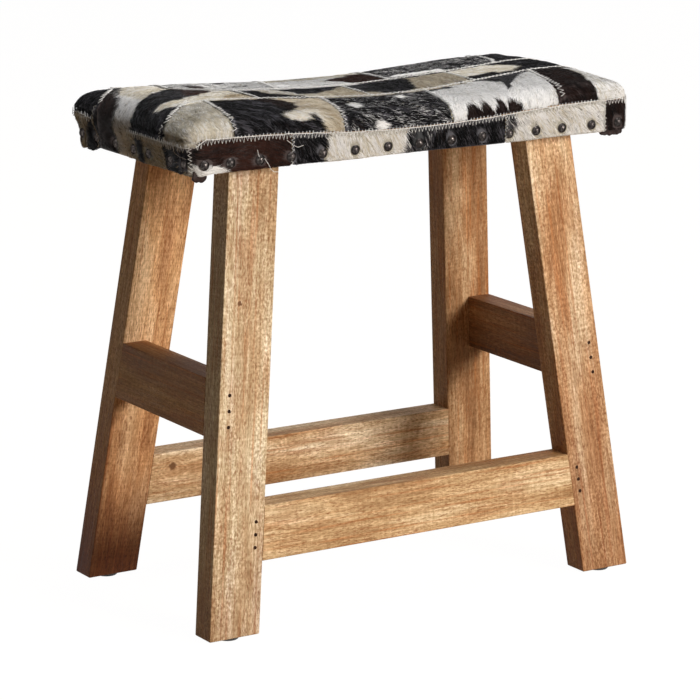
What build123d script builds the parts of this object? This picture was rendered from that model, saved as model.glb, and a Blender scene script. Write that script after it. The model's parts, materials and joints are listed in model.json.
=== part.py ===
from build123d import *
from math import asin, cos, radians, sin, sqrt
import os

# A saddle stool: four splayed legs and four stretchers of solid wood carry a board, a foam pad and a
# cover sewn from patches of cowhide. Millimetres. +Z is up, +X runs to the right along the seat, +Y runs
# to the back, and the origin is on the floor under the middle of the seat.

# Seat, over the hide
seat_length = 504.0
seat_depth = 226.0
seat_underside = 449.0
seat_corner_radius = 13.0

# Hide, with its hair pressed flat
hide_thickness = 2.4
hem_width = 18.0

# Board, whose top is hollowed like a saddle between two level ends
board_middle_thickness = 21.6
board_end_thickness = 29.6
saddle_run = 220.0

# Pad over the board, to the outside of the hide: rounded shoulders and a shallow crown
shoulder_middle_radius = 18.5
shoulder_end_radius = 15.5
crown_middle_angle = 6.0
crown_end_angle = 4.0
end_roll = 20.0

# Legs, in horizontal section. Their tops stand in from the seat's edges, and their feet splay out.
leg_width = 55.0
leg_thickness = 28.0
leg_inset_x = 55.6
leg_inset_y = 26.2
leg_splay_x = 50.0
leg_splay_y = 47.5
leg_edge_radius = 1.2
foot_edge_radius = 1.5

# Joint between leg and board
leg_tenon_width = 34.0
leg_tenon_thickness = 15.0
leg_tenon_length = 13.0
joint_gap = 0.15

# Low stretchers at the front and back
low_stretcher_bottom = 72.5
low_stretcher_height = 52.5
low_tenon_height = 34.0
low_tenon_thickness = 11.0
low_tenon_length = 25.0

# High stretchers at the two ends
high_stretcher_bottom = 192.0
high_stretcher_height = 55.5
high_stretcher_thickness = 26.5
stretcher_edge_radius = 1.0

# Frame nails
nail_gap = 0.05
nail_shank_radius = 1.2
nail_head_radius = 1.8
nail_head_thickness = 1.0
nail_sink = 0.4
pin_length = 22.0
pin_pitch = 12.3
pin_from_inner_edge = 9.0
long_nail_length = 60.0
long_nail_pitch = 15.0
long_nail_from_outer_edge = 11.0

# Screws from the board into the legs
screw_length = 55.0
screw_shank_radius = 2.3
screw_head_radius = 4.6
screw_head_thickness = 3.2
screw_sink = 1.0

# Glides under the feet
glide_radius = 11.0
glide_thickness = 3.0
glide_edge = 0.8
glide_nail_length = 18.0
glide_nail_head_radius = 2.6
glide_nail_sink = 0.6

# Upholstery nails round the border
dome_radius = 4.75
dome_height = 2.6
dome_shank_radius = 0.8
dome_shank_length = 11.0
dome_above_hem = 8.5

# Cutting tools run past what they cut by this much
overrun = 20.0

# Places along the seat, as shares of half its length (x) and of half its depth (y)
front_nail_shares = (-0.944, -0.833, -0.706, -0.571, -0.433, -0.290, -0.143, 0.0,
                     0.147, 0.290, 0.417, 0.544, 0.667, 0.810, 0.940)
back_nail_shares = (-0.942, -0.812, -0.672, -0.540, -0.405, -0.268, -0.136, 0.004,
                    0.139, 0.270, 0.402, 0.541, 0.676, 0.808, 0.944)
left_nail_shares = (-0.870, -0.645, -0.283, -0.027, 0.292, 0.611, 0.880)
right_nail_shares = (-0.876, -0.590, -0.300, 0.010, 0.300, 0.605, 0.878)

front_row_seam_shares = ((-1.20, -0.56), (-0.98, -0.50), (-0.88, -0.385), (-0.763, -0.30), (-0.527, -0.30),
                         (-0.275, -0.37), (-0.045, -0.445), (0.184, -0.43), (0.445, -0.365), (0.727, -0.285),
                         (0.87, -0.25), (0.95, -0.19), (1.20, 0.20))
back_row_seam_shares = ((-0.80, 0.10), (-0.526, 0.15), (-0.34, 0.12), (-0.04, 0.10), (0.19, 0.135),
                        (0.445, 0.15), (0.71, 0.19), (1.20, 0.30))
front_column_seam_shares = (((-0.83, -1.20), (-0.788, -0.56), (-0.763, -0.30), (-0.76, 0.05)),
                            ((-0.355, -1.20), (-0.294, -0.61), (-0.275, -0.37), (-0.27, 0.0)),
                            ((0.148, -1.20), (0.18, -0.51), (0.184, -0.43), (0.185, 0.0)),
                            ((0.63, -1.20), (0.697, -0.60), (0.727, -0.285), (0.73, 0.05)))
corner_seam_shares = ((-1.20, 0.60), (-0.91, 0.74), (-0.70, 1.20))
left_column_seam_shares = ((-0.515, -0.70), (-0.526, 0.15), (-0.74, 0.42), (-0.67, 1.20))
middle_column_seam_shares = (((-0.052, -0.70), (-0.064, 0.50)), ((0.445, -0.70), (0.443, 0.50)))
back_column_seam_shares = (((-0.345, 0.0), (-0.33, 0.14), (-0.20, 1.20)),
                           ((0.185, 0.0), (0.19, 0.14), (0.235, 1.20)),
                           ((0.70, 0.05), (0.755, 0.38), (0.81, 1.20)))
front_border_seam_shares = (-0.567, 0.40, 0.877)
back_border_seam_shares = (-0.62, -0.06, 0.55)
left_border_seam_shares = (-0.51, 0.05, 0.62)
right_border_seam_shares = (-0.30, 0.36)

# A seam that runs straight across is drawn from edge to edge, to this share beyond both
past_edge_share = 1.1

# Where the sections of the pad stand: shares of its level length, then angles round its end roll
pad_station_shares = (0.0, 0.25, 0.5, 0.75, 1.0)
roll_angles = (25.0, 45.0, 62.0, 76.0)

# How a primitive lies on its own origin
upwards = (Align.CENTER, Align.CENTER, Align.MIN)
downwards = (Align.CENTER, Align.CENTER, Align.MAX)

# Worked out from the sizes above
half_length = seat_length / 2
half_depth = seat_depth / 2
board_bottom = seat_underside + hide_thickness
saddle_low = board_bottom + board_middle_thickness
saddle_high = board_bottom + board_end_thickness
half_run = saddle_run / 2
half_rise = (saddle_high - saddle_low) / 2
saddle_radius = (half_run ** 2 + half_rise ** 2) / (2 * half_rise)
seat_ceiling = saddle_high + shoulder_middle_radius + shoulder_end_radius + overrun


# Wooden frame

def leg_centre(z):
    """The middle of the back right leg at a height."""
    share = (board_bottom - z) / (board_bottom - glide_thickness)
    x = half_length - leg_inset_x - leg_width / 2 + share * leg_splay_x
    y = half_depth - leg_inset_y - leg_thickness / 2 + share * leg_splay_y
    return x, y


def leaning_block(low, high, footprint):
    """A block with flat faces between two heights, whose footprint changes evenly from one to the other."""
    rings = []
    for z in (low, high):
        x0, x1, y0, y1 = footprint(z)
        rings.append([Vector(x0, y0, z), Vector(x1, y0, z), Vector(x1, y1, z), Vector(x0, y1, z)])
    bottom, top = rings
    quads = [bottom[::-1], top]
    for i in range(len(bottom)):
        j = (i + 1) % len(bottom)
        quads.append([bottom[i], bottom[j], top[j], top[i]])
    return Solid(Shell([Face(Wire.make_polygon(quad, close=True)) for quad in quads]))


def long_edges(block):
    """The edges that run along a block's longest side."""
    box = block.bounding_box().size
    longest = max(box.X, box.Y, box.Z)
    return [edge for edge in block.edges() if edge.length > longest / 2]


def leg_footprint(z):
    x, y = leg_centre(z)
    return x - leg_width / 2, x + leg_width / 2, y - leg_thickness / 2, y + leg_thickness / 2


def low_stretcher_footprint(z):
    inner, _, near, far = leg_footprint(z)
    return -inner, inner, near, far


def high_stretcher_footprint(z):
    _, outer, near, _ = leg_footprint(z)
    return outer - high_stretcher_thickness, outer, -near, near


def low_tenon_bar(gap):
    """The bar whose two ends are the tenons of the back stretcher, or their mortises with a gap added."""
    middle = low_stretcher_bottom + low_stretcher_height / 2
    reach = leg_footprint(middle)[0] + low_tenon_length + gap
    half_height = low_tenon_height / 2 + gap
    half_thickness = low_tenon_thickness / 2 + gap

    def footprint(z):
        _, y = leg_centre(z)
        return -reach, reach, y - half_thickness, y + half_thickness

    return leaning_block(middle - half_height, middle + half_height, footprint)


def leg_tenon(gap):
    """The stub on top of the back right leg, or its mortise in the board with a gap added."""
    x, y = leg_centre(board_bottom)
    width = leg_tenon_width + 2 * gap
    thickness = leg_tenon_thickness + 2 * gap
    return Pos(x, y, board_bottom) * Box(width, thickness, 2 * (leg_tenon_length + gap))


# Fasteners, each made head up at the origin and then turned to its place

def nail(length, gap=0.0):
    """A round nail with a flat head, or its hole with a gap added and open at the head."""
    head_top = nail_sink + overrun if gap else 0.0
    head = Pos(0, 0, -nail_head_thickness) * Cylinder(
        nail_head_radius + gap, nail_head_thickness + head_top, align=upwards)
    shank = Cylinder(nail_shank_radius + gap, length + gap, align=downwards)
    return head + shank


def screw(gap=0.0):
    """A countersunk screw, or its hole with a gap added and open at the head."""
    drop = screw_head_thickness
    cone = Pos(0, 0, -drop) * Cone(screw_shank_radius + gap, screw_head_radius + gap, drop,
                                   align=upwards)
    shank = Cylinder(screw_shank_radius + gap, screw_length + gap, align=downwards)
    if not gap:
        return cone + shank
    bore = Cylinder(screw_head_radius + gap, screw_sink + overrun, align=upwards)
    return cone + shank + bore


def glide_nail(gap=0.0):
    """A countersunk nail, head down, or its hole with a gap added and open at the head."""
    drop = glide_nail_head_radius - nail_shank_radius
    cone = Cone(glide_nail_head_radius + gap, nail_shank_radius + gap, drop,
                align=upwards)
    shank = Cylinder(nail_shank_radius + gap, glide_nail_length + gap, align=upwards)
    if not gap:
        return cone + shank
    bore = Cylinder(glide_nail_head_radius + gap, glide_nail_sink + overrun,
                    align=downwards)
    return cone + shank + bore


def dome_nail():
    """A dome-headed upholstery nail along +X, its head's rim at the origin."""
    sphere_radius = (dome_radius ** 2 + dome_height ** 2) / (2 * dome_height)
    half_angle = asin(dome_radius / sphere_radius) / 2
    halfway = (dome_height - sphere_radius + sphere_radius * cos(half_angle), sphere_radius * sin(half_angle))
    profile = make_face([
        ThreePointArc((dome_height, 0), halfway, (0, dome_radius)),
        Polyline((0, dome_radius), (0, dome_shank_radius), (-dome_shank_length, dome_shank_radius),
                 (-dome_shank_length, 0), (dome_height, 0)),
    ])
    return revolve(profile, Axis.X)


def dome_hole():
    """The hole of an upholstery nail along +X."""
    return Rot(0, 90, 0) * Cylinder(dome_shank_radius + nail_gap, dome_shank_length + nail_gap,
                                    align=downwards)


def pin_places():
    """Where the back right leg's back face takes the nails that pin a low stretcher's tenon."""
    middle = low_stretcher_bottom + low_stretcher_height / 2
    places = []
    for step in (-1, 0, 1):
        z = middle + step * pin_pitch
        inner, _, _, far = leg_footprint(z)
        places.append(Pos(inner + pin_from_inner_edge, far - nail_sink, z) * Rot(-90, 0, 0))
    return places


def long_nail_places():
    """Where the back right leg's back face takes the nails that hold a high stretcher."""
    middle = high_stretcher_bottom + high_stretcher_height / 2
    places = []
    for step in (-1, 0, 1):
        z = middle + step * long_nail_pitch
        _, outer, _, far = leg_footprint(z)
        places.append(Pos(outer - long_nail_from_outer_edge, far - nail_sink, z) * Rot(-90, 0, 0))
    return places


def screw_place():
    x, y = leg_centre(board_bottom)
    return Pos(x, y, saddle_height(x + screw_head_radius) - screw_sink)


def glide_nail_place():
    x, y = leg_centre(glide_thickness)
    return Pos(x, y, glide_nail_sink)


def dome_places():
    """The place of each upholstery nail, by side, with its head facing outwards."""
    z = seat_underside + dome_above_hem
    front = [Pos(share * half_length, -half_depth, z) * Rot(0, 0, -90) for share in front_nail_shares]
    back = [Pos(share * half_length, half_depth, z) * Rot(0, 0, 90) for share in back_nail_shares]
    left = [Pos(-half_length, share * half_depth, z) * Rot(0, 0, 180) for share in left_nail_shares]
    right = [Pos(half_length, share * half_depth, z) for share in right_nail_shares]
    return {"front": front, "back": back, "left": left, "right": right}


# Pieces of the frame, each made at the back right

def four_ways(piece):
    """A back right piece and its mirror images, by corner."""
    return {
        "back_right": piece,
        "back_left": mirror(piece, Plane.YZ),
        "front_right": mirror(piece, Plane.XZ),
        "front_left": Rot(0, 0, 180) * piece,
    }


def make_leg():
    leg = leaning_block(glide_thickness, board_bottom, leg_footprint)
    leg = fillet(long_edges(leg), leg_edge_radius)
    foot = [edge for edge in leg.edges() if edge.bounding_box().max.Z < glide_thickness + nail_gap]
    leg = fillet(foot, foot_edge_radius)
    leg = leg + leg_tenon(0.0)
    leg = leg - low_tenon_bar(joint_gap)
    for place in pin_places():
        leg = leg - place * nail(pin_length, nail_gap)
    for place in long_nail_places():
        leg = leg - place * nail(long_nail_length, nail_gap)
    return leg - screw_place() * screw(nail_gap) - glide_nail_place() * glide_nail(nail_gap)


def make_low_stretcher():
    top = low_stretcher_bottom + low_stretcher_height
    bar = leaning_block(low_stretcher_bottom, top, low_stretcher_footprint)
    bar = fillet(long_edges(bar), stretcher_edge_radius) + low_tenon_bar(0.0)
    for place in pin_places():
        hole = place * nail(pin_length, nail_gap)
        bar = bar - hole - mirror(hole, Plane.YZ)
    return bar


def make_high_stretcher():
    top = high_stretcher_bottom + high_stretcher_height
    bar = leaning_block(high_stretcher_bottom, top, high_stretcher_footprint)
    bar = fillet(long_edges(bar), stretcher_edge_radius)
    for place in long_nail_places():
        hole = place * nail(long_nail_length, nail_gap)
        bar = bar - hole - mirror(hole, Plane.XZ)
    return bar


def make_glide():
    x, y = leg_centre(glide_thickness)
    disc = Pos(x, y, 0) * Cylinder(glide_radius, glide_thickness, align=upwards)
    disc = chamfer(disc.edges().group_by(Axis.Z)[0], glide_edge)
    return disc - glide_nail_place() * glide_nail(nail_gap)


# Seat

def saddle_height(x):
    """The height of the board's top, along two tangent arcs on each side of the middle."""
    x = abs(x)
    if x < half_run:
        return saddle_low + saddle_radius - sqrt(saddle_radius ** 2 - x ** 2)
    if x < saddle_run:
        return saddle_high - saddle_radius + sqrt(saddle_radius ** 2 - (saddle_run - x) ** 2)
    return saddle_high


def below_saddle(low):
    """All that lies between a height and the line of the board's top."""
    reach = half_length + overrun
    quarter = saddle_run / 4
    bend_height = saddle_height(half_run)
    corner = [(-saddle_run, saddle_high), (-reach, saddle_high), (-reach, low), (reach, low),
              (reach, saddle_high), (saddle_run, saddle_high)]
    right = ThreePointArc((saddle_run, saddle_high), (3 * quarter, saddle_height(3 * quarter)),
                          (half_run, bend_height))
    dip = ThreePointArc((half_run, bend_height), (0, saddle_low), (-half_run, bend_height))
    left = ThreePointArc((-half_run, bend_height), (-3 * quarter, saddle_height(3 * quarter)),
                         (-saddle_run, saddle_high))
    profile = make_face([Polyline(*corner), right, dip, left])
    return extrude(Plane.XZ * profile, half_depth + overrun, both=True)


def plan(inset):
    """The seat's outline seen from above, drawn in by an inset."""
    return RectangleRounded(seat_length - 2 * inset, seat_depth - 2 * inset, seat_corner_radius - inset)


def pad_section(x, end_share, inset):
    """A section across the pad: upright sides, rounded shoulders and a crown. end_share falls from 1 to 0
    round the end roll, and inset is how far the section lies inside the hide's outer face."""
    spread = min(abs(x) / saddle_run, 1.0) ** 2
    radius = shoulder_middle_radius + (shoulder_end_radius - shoulder_middle_radius) * spread
    tilt = crown_middle_angle + (crown_end_angle - crown_middle_angle) * spread
    radius = (radius - inset) * end_share
    tilt = radians(tilt * end_share)
    into_corner = max(abs(x) - (half_length - seat_corner_radius), 0.0)
    side = half_depth - seat_corner_radius + sqrt(seat_corner_radius ** 2 - into_corner ** 2) - inset
    base = saddle_height(x)
    floor = base - overrun
    half_turn = (radians(90) - tilt) / 2
    bend = (side - radius + radius * cos(half_turn), base + radius * sin(half_turn))
    shoulder = (side - radius + radius * sin(tilt), base + radius * cos(tilt))
    crown = (0.0, shoulder[1] + shoulder[0] * (1 - cos(tilt)) / sin(tilt))
    return make_face([
        Polyline((-side, base), (-side, floor), (side, floor), (side, base)),
        ThreePointArc((side, base), bend, shoulder),
        ThreePointArc(shoulder, crown, (-shoulder[0], shoulder[1])),
        ThreePointArc((-shoulder[0], shoulder[1]), (-bend[0], bend[1]), (-side, base)),
    ])


def pad_form(inset):
    """The pad as one smooth form through its sections, running down into the board."""
    level = half_length - end_roll
    stations = []
    for share in pad_station_shares:
        stations.append((share * level, share * level, 1.0))
    for angle in roll_angles:
        turn = radians(angle)
        stations.append((level + (end_roll - inset) * sin(turn), level + end_roll * sin(turn), cos(turn)))
    last = stations.pop()
    stations.append((half_length - inset, last[1], last[2]))
    sections = []
    for side in (-1, 1):
        ordered = stations[:0:-1] if side < 0 else stations
        for at, shape_at, end_share in ordered:
            sections.append(Plane.YZ.offset(side * at) * pad_section(shape_at, end_share, inset))
    return loft(sections)


def outline_points(shares):
    return [(x * half_length, y * half_depth) for x, y in shares]


def prism(points):
    """An upright prism over a flat outline, tall enough to cut the whole seat."""
    low = seat_underside - overrun
    face = make_face(Polyline(*points, close=True))
    return extrude(Pos(0, 0, low) * face, seat_ceiling - low)


def left_of(seam_shares):
    points = outline_points(seam_shares)
    edge = -half_length - overrun - seat_length
    return prism([(edge, points[0][1]), *points, (edge, points[-1][1])])


def front_of(seam_shares):
    points = outline_points(seam_shares)
    edge = -half_depth - overrun - seat_depth
    return prism([(points[0][0], edge), *points, (points[-1][0], edge)])


def left_of_line(share):
    return left_of(((share, -past_edge_share), (share, past_edge_share)))


def front_of_line(share):
    return front_of(((-past_edge_share, share), (past_edge_share, share)))


def cut_in_order(hide, regions):
    """The hide cut into one piece for each region, and the piece that is left."""
    pieces = []
    for region in regions:
        pieces.append(hide & region)
        hide = hide - region
    return pieces + [hide]


def make_board():
    blank = extrude(Pos(0, 0, board_bottom) * plan(hide_thickness), seat_ceiling - board_bottom)
    board = blank & below_saddle(board_bottom)
    for tool in (leg_tenon(joint_gap), screw_place() * screw(nail_gap)):
        for hole in four_ways(tool).values():
            board = board - hole
    for places in dome_places().values():
        for place in places:
            board = board - place * dome_hole()
    return board


def make_hide_top():
    return pad_form(0.0) - pad_form(hide_thickness) - below_saddle(board_bottom - overrun)


def make_border():
    """The border's upright wall and the hem turned in under the board, pierced for the nails."""
    wall = extrude(Pos(0, 0, board_bottom) * (plan(0.0) - plan(hide_thickness)), seat_ceiling - board_bottom)
    wall = wall & below_saddle(seat_underside - overrun)
    hem_opening = Rectangle(seat_length - 2 * hem_width, seat_depth - 2 * hem_width)
    border = wall + extrude(Pos(0, 0, seat_underside) * (plan(0.0) - hem_opening), hide_thickness)
    for places in dome_places().values():
        for place in places:
            border = border - place * dome_hole()
    return border


def make_hide_patches():
    """Every patch of the cover, by name."""
    top = make_hide_top()
    front_row, rest = cut_in_order(top, [front_of(front_row_seam_shares)])
    corner, left, rest = cut_in_order(rest, [left_of(corner_seam_shares), left_of(left_column_seam_shares)])
    middle_row, back_row = cut_in_order(rest, [front_of(back_row_seam_shares)])
    front_patches = cut_in_order(front_row, [left_of(seam) for seam in front_column_seam_shares])
    middle_patches = cut_in_order(middle_row, [left_of(seam) for seam in middle_column_seam_shares])
    back_patches = cut_in_order(back_row, [left_of(seam) for seam in back_column_seam_shares])

    border = make_border()
    corner_share = 1 - hem_width / half_depth
    front_strip, rest = cut_in_order(border, [front_of_line(-corner_share)])
    side_strips, back_strip = cut_in_order(rest, [front_of_line(corner_share)])
    left_strip, right_strip = cut_in_order(side_strips, [left_of_line(0)])
    front_pieces = cut_in_order(front_strip, [left_of_line(share) for share in front_border_seam_shares])
    back_pieces = cut_in_order(back_strip, [left_of_line(share) for share in back_border_seam_shares])
    left_pieces = cut_in_order(left_strip, [front_of_line(share) for share in left_border_seam_shares])
    right_pieces = cut_in_order(right_strip, [front_of_line(share) for share in right_border_seam_shares])

    # One patch runs over the left end and down to the hem in one piece.
    left = left + left_pieces.pop(2)
    groups = {
        "hide_front_row": front_patches,
        "hide_middle_row": [left] + middle_patches,
        "hide_back_row": [corner] + back_patches,
        "hide_front_border": front_pieces,
        "hide_back_border": back_pieces,
        "hide_left_border": left_pieces,
        "hide_right_border": right_pieces,
    }
    patches = {}
    for name, pieces in groups.items():
        for number, piece in enumerate(pieces, start=1):
            patches[f"{name}_{number}"] = piece
    return patches


# Whole stool

def make_nodes():
    nodes = {}
    for corner, piece in four_ways(make_leg()).items():
        nodes[f"leg_{corner}"] = piece
    for corner, piece in four_ways(make_glide()).items():
        nodes[f"glide_{corner}"] = piece
    low_stretcher = make_low_stretcher()
    nodes["back_stretcher"] = low_stretcher
    nodes["front_stretcher"] = mirror(low_stretcher, Plane.XZ)
    high_stretcher = make_high_stretcher()
    nodes["right_stretcher"] = high_stretcher
    nodes["left_stretcher"] = mirror(high_stretcher, Plane.YZ)

    pins = four_ways(Compound([place * nail(pin_length) for place in pin_places()]))
    long_nails = four_ways(Compound([place * nail(long_nail_length) for place in long_nail_places()]))
    for end in ("front", "back"):
        nodes[f"{end}_stretcher_nails"] = Compound(
            [*pins[f"{end}_left"].solids(), *pins[f"{end}_right"].solids()])
    for end in ("left", "right"):
        nodes[f"{end}_stretcher_nails"] = Compound(
            [*long_nails[f"front_{end}"].solids(), *long_nails[f"back_{end}"].solids()])
    screws = four_ways(screw_place() * screw())
    nodes["leg_screws"] = Compound([solid for piece in screws.values() for solid in piece.solids()])
    glide_nails = four_ways(glide_nail_place() * glide_nail())
    nodes["glide_nails"] = Compound([solid for piece in glide_nails.values() for solid in piece.solids()])

    nodes["seat_board"] = make_board()
    nodes["seat_foam"] = pad_form(hide_thickness) - below_saddle(board_bottom - overrun)
    nodes.update(make_hide_patches())
    for side, places in dome_places().items():
        nodes[f"upholstery_nails_{side}"] = Compound(
            [solid for place in places for solid in (place * dome_nail()).solids()])
    return nodes


os.makedirs("parts", exist_ok=True)
for node_name, node_shape in make_nodes().items():
    export_step(node_shape, f"parts/{node_name}.step")
    print(node_name, len(node_shape.solids()), round(node_shape.volume, 1))
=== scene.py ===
import json
from math import cos, pi, radians, sin, tau

import bpy
import numpy as np
from mathutils import Matrix, Vector
from mathutils.bvhtree import BVHTree
from mathutils.kdtree import KDTree

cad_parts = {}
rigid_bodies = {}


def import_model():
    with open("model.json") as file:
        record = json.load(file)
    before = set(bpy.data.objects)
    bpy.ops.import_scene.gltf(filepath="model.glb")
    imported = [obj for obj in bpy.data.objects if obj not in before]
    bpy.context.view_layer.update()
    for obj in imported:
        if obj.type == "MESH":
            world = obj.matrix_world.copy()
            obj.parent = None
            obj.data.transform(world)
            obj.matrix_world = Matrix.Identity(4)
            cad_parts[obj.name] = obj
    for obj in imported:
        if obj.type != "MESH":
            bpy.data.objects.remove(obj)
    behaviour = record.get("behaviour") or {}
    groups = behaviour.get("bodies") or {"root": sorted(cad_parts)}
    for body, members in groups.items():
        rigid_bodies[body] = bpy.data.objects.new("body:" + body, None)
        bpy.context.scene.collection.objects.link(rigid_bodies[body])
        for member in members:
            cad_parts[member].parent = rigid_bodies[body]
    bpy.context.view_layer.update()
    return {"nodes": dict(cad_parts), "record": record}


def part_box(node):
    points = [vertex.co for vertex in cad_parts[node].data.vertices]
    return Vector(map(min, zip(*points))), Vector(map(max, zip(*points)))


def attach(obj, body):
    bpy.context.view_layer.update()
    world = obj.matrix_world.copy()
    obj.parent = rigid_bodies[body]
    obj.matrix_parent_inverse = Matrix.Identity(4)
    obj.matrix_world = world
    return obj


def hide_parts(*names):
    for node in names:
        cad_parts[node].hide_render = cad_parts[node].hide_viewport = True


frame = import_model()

bl_info = {
    "name": "Saddle stool",
    "version": (1, 0, 0),
    "blender": (4, 5, 0),
    "location": "3D View > Sidebar > Stool",
    "description": "Dresses the frame of a saddle stool in mango wood, cowhide and blackened steel",
    "category": "Object",
}

MM = 0.001
BODY = "root"

# Places read from the frame, in metres
corner_low, corner_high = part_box("hide_front_border_1")
HALF_LENGTH = -corner_low.x
HALF_DEPTH = -corner_low.y
HEM_HEIGHT = corner_low.z
SEAM_HEIGHT_AT_ENDS = corner_high.z
SEAM_HEIGHT_AT_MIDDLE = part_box("hide_front_row_3")[0].z
# The frame's own sizes: the seat's rounded corners, the run of its saddle from the middle, and the legs
CORNER_RADIUS = 13 * MM
SADDLE_RUN = 220 * MM
LEG_WIDTH = 55 * MM
LEG_THICKNESS = 28 * MM
# The hide of the top hangs this far over the border at the left end.
LEFT_SEAM_DROP = 6.5 * MM
# How fine the pad and the patches are remeshed, and how long the pad's cloth swells
PAD_VOXEL = 5 * MM
PATCH_VOXEL = 1.7 * MM
SWELL_FRAMES = 20
# No hair lies nearer than this to the middle of a nail, seen straight on.
NAIL_CLEARANCE = 5.6 * MM
# How high a bump stands, which is a strand of hair or a fibre of wood
BUMP_HEIGHT = 0.3 * MM

SIDES = ("front", "back", "left", "right")
CORNERS = ("front_left", "front_right", "back_left", "back_right")
HIDE_NODES = [part["node"] for part in frame["record"]["subparts"] if part["node"].startswith("hide_")]
SLOTS = {part["node"]: part["material_slot"] for part in frame["record"]["subparts"]}


# Colours and nodes

def srgb(code):
    """A colour written as sRGB hex, turned linear."""
    channels = [int(code[i:i + 2], 16) / 255 for i in (1, 3, 5)]
    linear = [c / 12.92 if c <= 0.04045 else ((c + 0.055) / 1.055) ** 2.4 for c in channels]
    return (*linear, 1.0)


def grey(value):
    return (value, value, value, 1.0)


def add_node(tree, kind, inputs=None, stops=None, **settings):
    """Adds a node with its settings. Inputs, by name or place, are linked to a socket or set to a value."""
    node = tree.nodes.new(kind)
    for name, value in settings.items():
        setattr(node, name, value)
    if stops:
        ramp = node.color_ramp
        while len(ramp.elements) < len(stops):
            ramp.elements.new(0.5)
        for element, (position, colour) in zip(ramp.elements, stops):
            element.position = position
            element.color = colour if len(colour) == 4 else (*colour, 1.0)
    for key, value in (inputs or {}).items():
        if isinstance(value, bpy.types.NodeSocket):
            tree.links.new(value, node.inputs[key])
        else:
            node.inputs[key].default_value = value
    return node


def new_material(name):
    """A material with an empty tree but for its shader and output."""
    material = bpy.data.materials.new(name)
    material.use_nodes = True
    tree = material.node_tree
    tree.nodes.clear()
    shader = add_node(tree, "ShaderNodeBsdfPrincipled")
    add_node(tree, "ShaderNodeOutputMaterial", {"Surface": shader.outputs["BSDF"]})
    return material, tree, shader


def seen_directly(tree):
    """1 for what the camera, a gloss or a glass sees of the room, and 0 for the light that it gives."""
    path = add_node(tree, "ShaderNodeLightPath").outputs
    seen = path["Is Camera Ray"]
    for ray in ("Is Glossy Ray", "Is Transmission Ray"):
        seen = add_node(tree, "ShaderNodeMath", {0: seen, 1: path[ray]}, operation="MAXIMUM").outputs[0]
    return seen


# Mango wood, sawn, sanded and waxed. Its honey ground has pale and reddish zones, orange streaks, soft
# growth lines and dense dark pores, with curly figure in places and faint marks of the saw across the
# grain. A layer is a noise with its length along the grain, its width and its detail.

WOOD_LAYERS = {
    "tone": (150 * MM, 24 * MM, 4.0),
    "stain_and_painted_shade": (60 * MM, 30 * MM, 3.0),
    "rings": (420 * MM, 30 * MM, 2.0),
    "fibre": (55 * MM, 1.7 * MM, 3.0),
    "streaks": (130 * MM, 3.4 * MM, 2.0),
    "flecks": (6.0 * MM, 1.35 * MM, 2.0),
    "pores": (5.0 * MM, 1.0 * MM, 1.0),
    "pore_zones": (60 * MM, 14 * MM, 2.0),
    "curl": (3.0 * MM, 2.6 * MM, 1.0),
    "curl_zones": (110 * MM, 34 * MM, 1.0),
    "saw": (2.1 * MM, 26 * MM, 1.0),
}
# How a layer is read: its values between the first two numbers become a share or a factor between the
# last two.
WOOD_READINGS = {
    "stain_and_painted_shade": (0.54, 0.68, 0.0, 0.34),
    "fibre": (0.32, 0.68, 0.82, 1.14),
    "streaks": (0.54, 0.70, 0.0, 0.60),
    "flecks": (0.30, 0.70, 0.62, 1.34),
    "pore_zones": (0.35, 0.65, 0.62, 0.54),
    "curl": (0.30, 0.70, 0.58, 1.38),
    "curl_zones": (0.36, 0.52, 0.0, 1.0),
    "saw": (0.34, 0.66, 0.92, 1.07),
}

# Each timber's own shades and how much curly figure it shows. For some, painted shade at four heights: how
# dark the timber is drawn where less light reaches it. "knots" are centres in millimetres with a radius, and
# growth lines run round them and round "swirls", which are such places without a dark heart.
PAINTED_SHADE_HEIGHTS = (20 * MM, 120 * MM, 250 * MM, 420 * MM)
TIMBERS = {
    "leg_front_left": {"seed": 1, "light": "#F0E0C6", "middle": "#DFCAA6", "dark": "#C6A57D", "curl": 0.9,
                       "painted_shade": (0.74, 1.0, 1.0, 0.92), "knots": ((-193.3, -100.7, 319.9, 2.4),)},
    "leg_front_right": {"seed": 2, "light": "#F0DAB8", "middle": "#DDB98F", "dark": "#B9895C", "curl": 0.8,
                        "painted_shade": (0.62, 0.68, 0.84, 1.0), "knots": ((217.5, -115.6, 179.1, 0.7),)},
    # The back left leg's shades are drawn paler than the other legs', as painted light where more light
    # falls on it.
    "leg_back_left": {"seed": 3, "light": "#FBDBAF", "middle": "#EFC28F", "dark": "#BF8F64", "curl": 0.3,
                      "painted_shade": (0.26, 0.64, 0.80, 0.93)},
    "leg_back_right": {"seed": 4, "light": "#DDBD95", "middle": "#C2976C", "dark": "#976C46", "curl": 0.5},
    "front_stretcher": {"seed": 5, "light": "#E8CCA2", "middle": "#D0AC7E", "dark": "#A98054", "curl": 0.3},
    "back_stretcher": {"seed": 6, "light": "#F5DEBB", "middle": "#E0BD92", "dark": "#B88D60", "curl": 0.3,
                       "knots": ((-155.6, 95.0, 109.6, 4.6),), "swirls": ((-38.0, 94.9, 110.6),)},
    "left_stretcher": {"seed": 7, "light": "#C69B6A", "middle": "#A87B50", "dark": "#815836", "curl": 0.3},
    "right_stretcher": {"seed": 8, "light": "#B58A62", "middle": "#8C6240", "dark": "#5E3E27", "curl": 0.2,
                        "knots": ((198.2, 35.6, 197.7, 3.4),)},
    "seat_board": {"seed": 9, "light": "#D3B084", "middle": "#BC9465", "dark": "#9C7147", "curl": 0.2},
}


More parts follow.
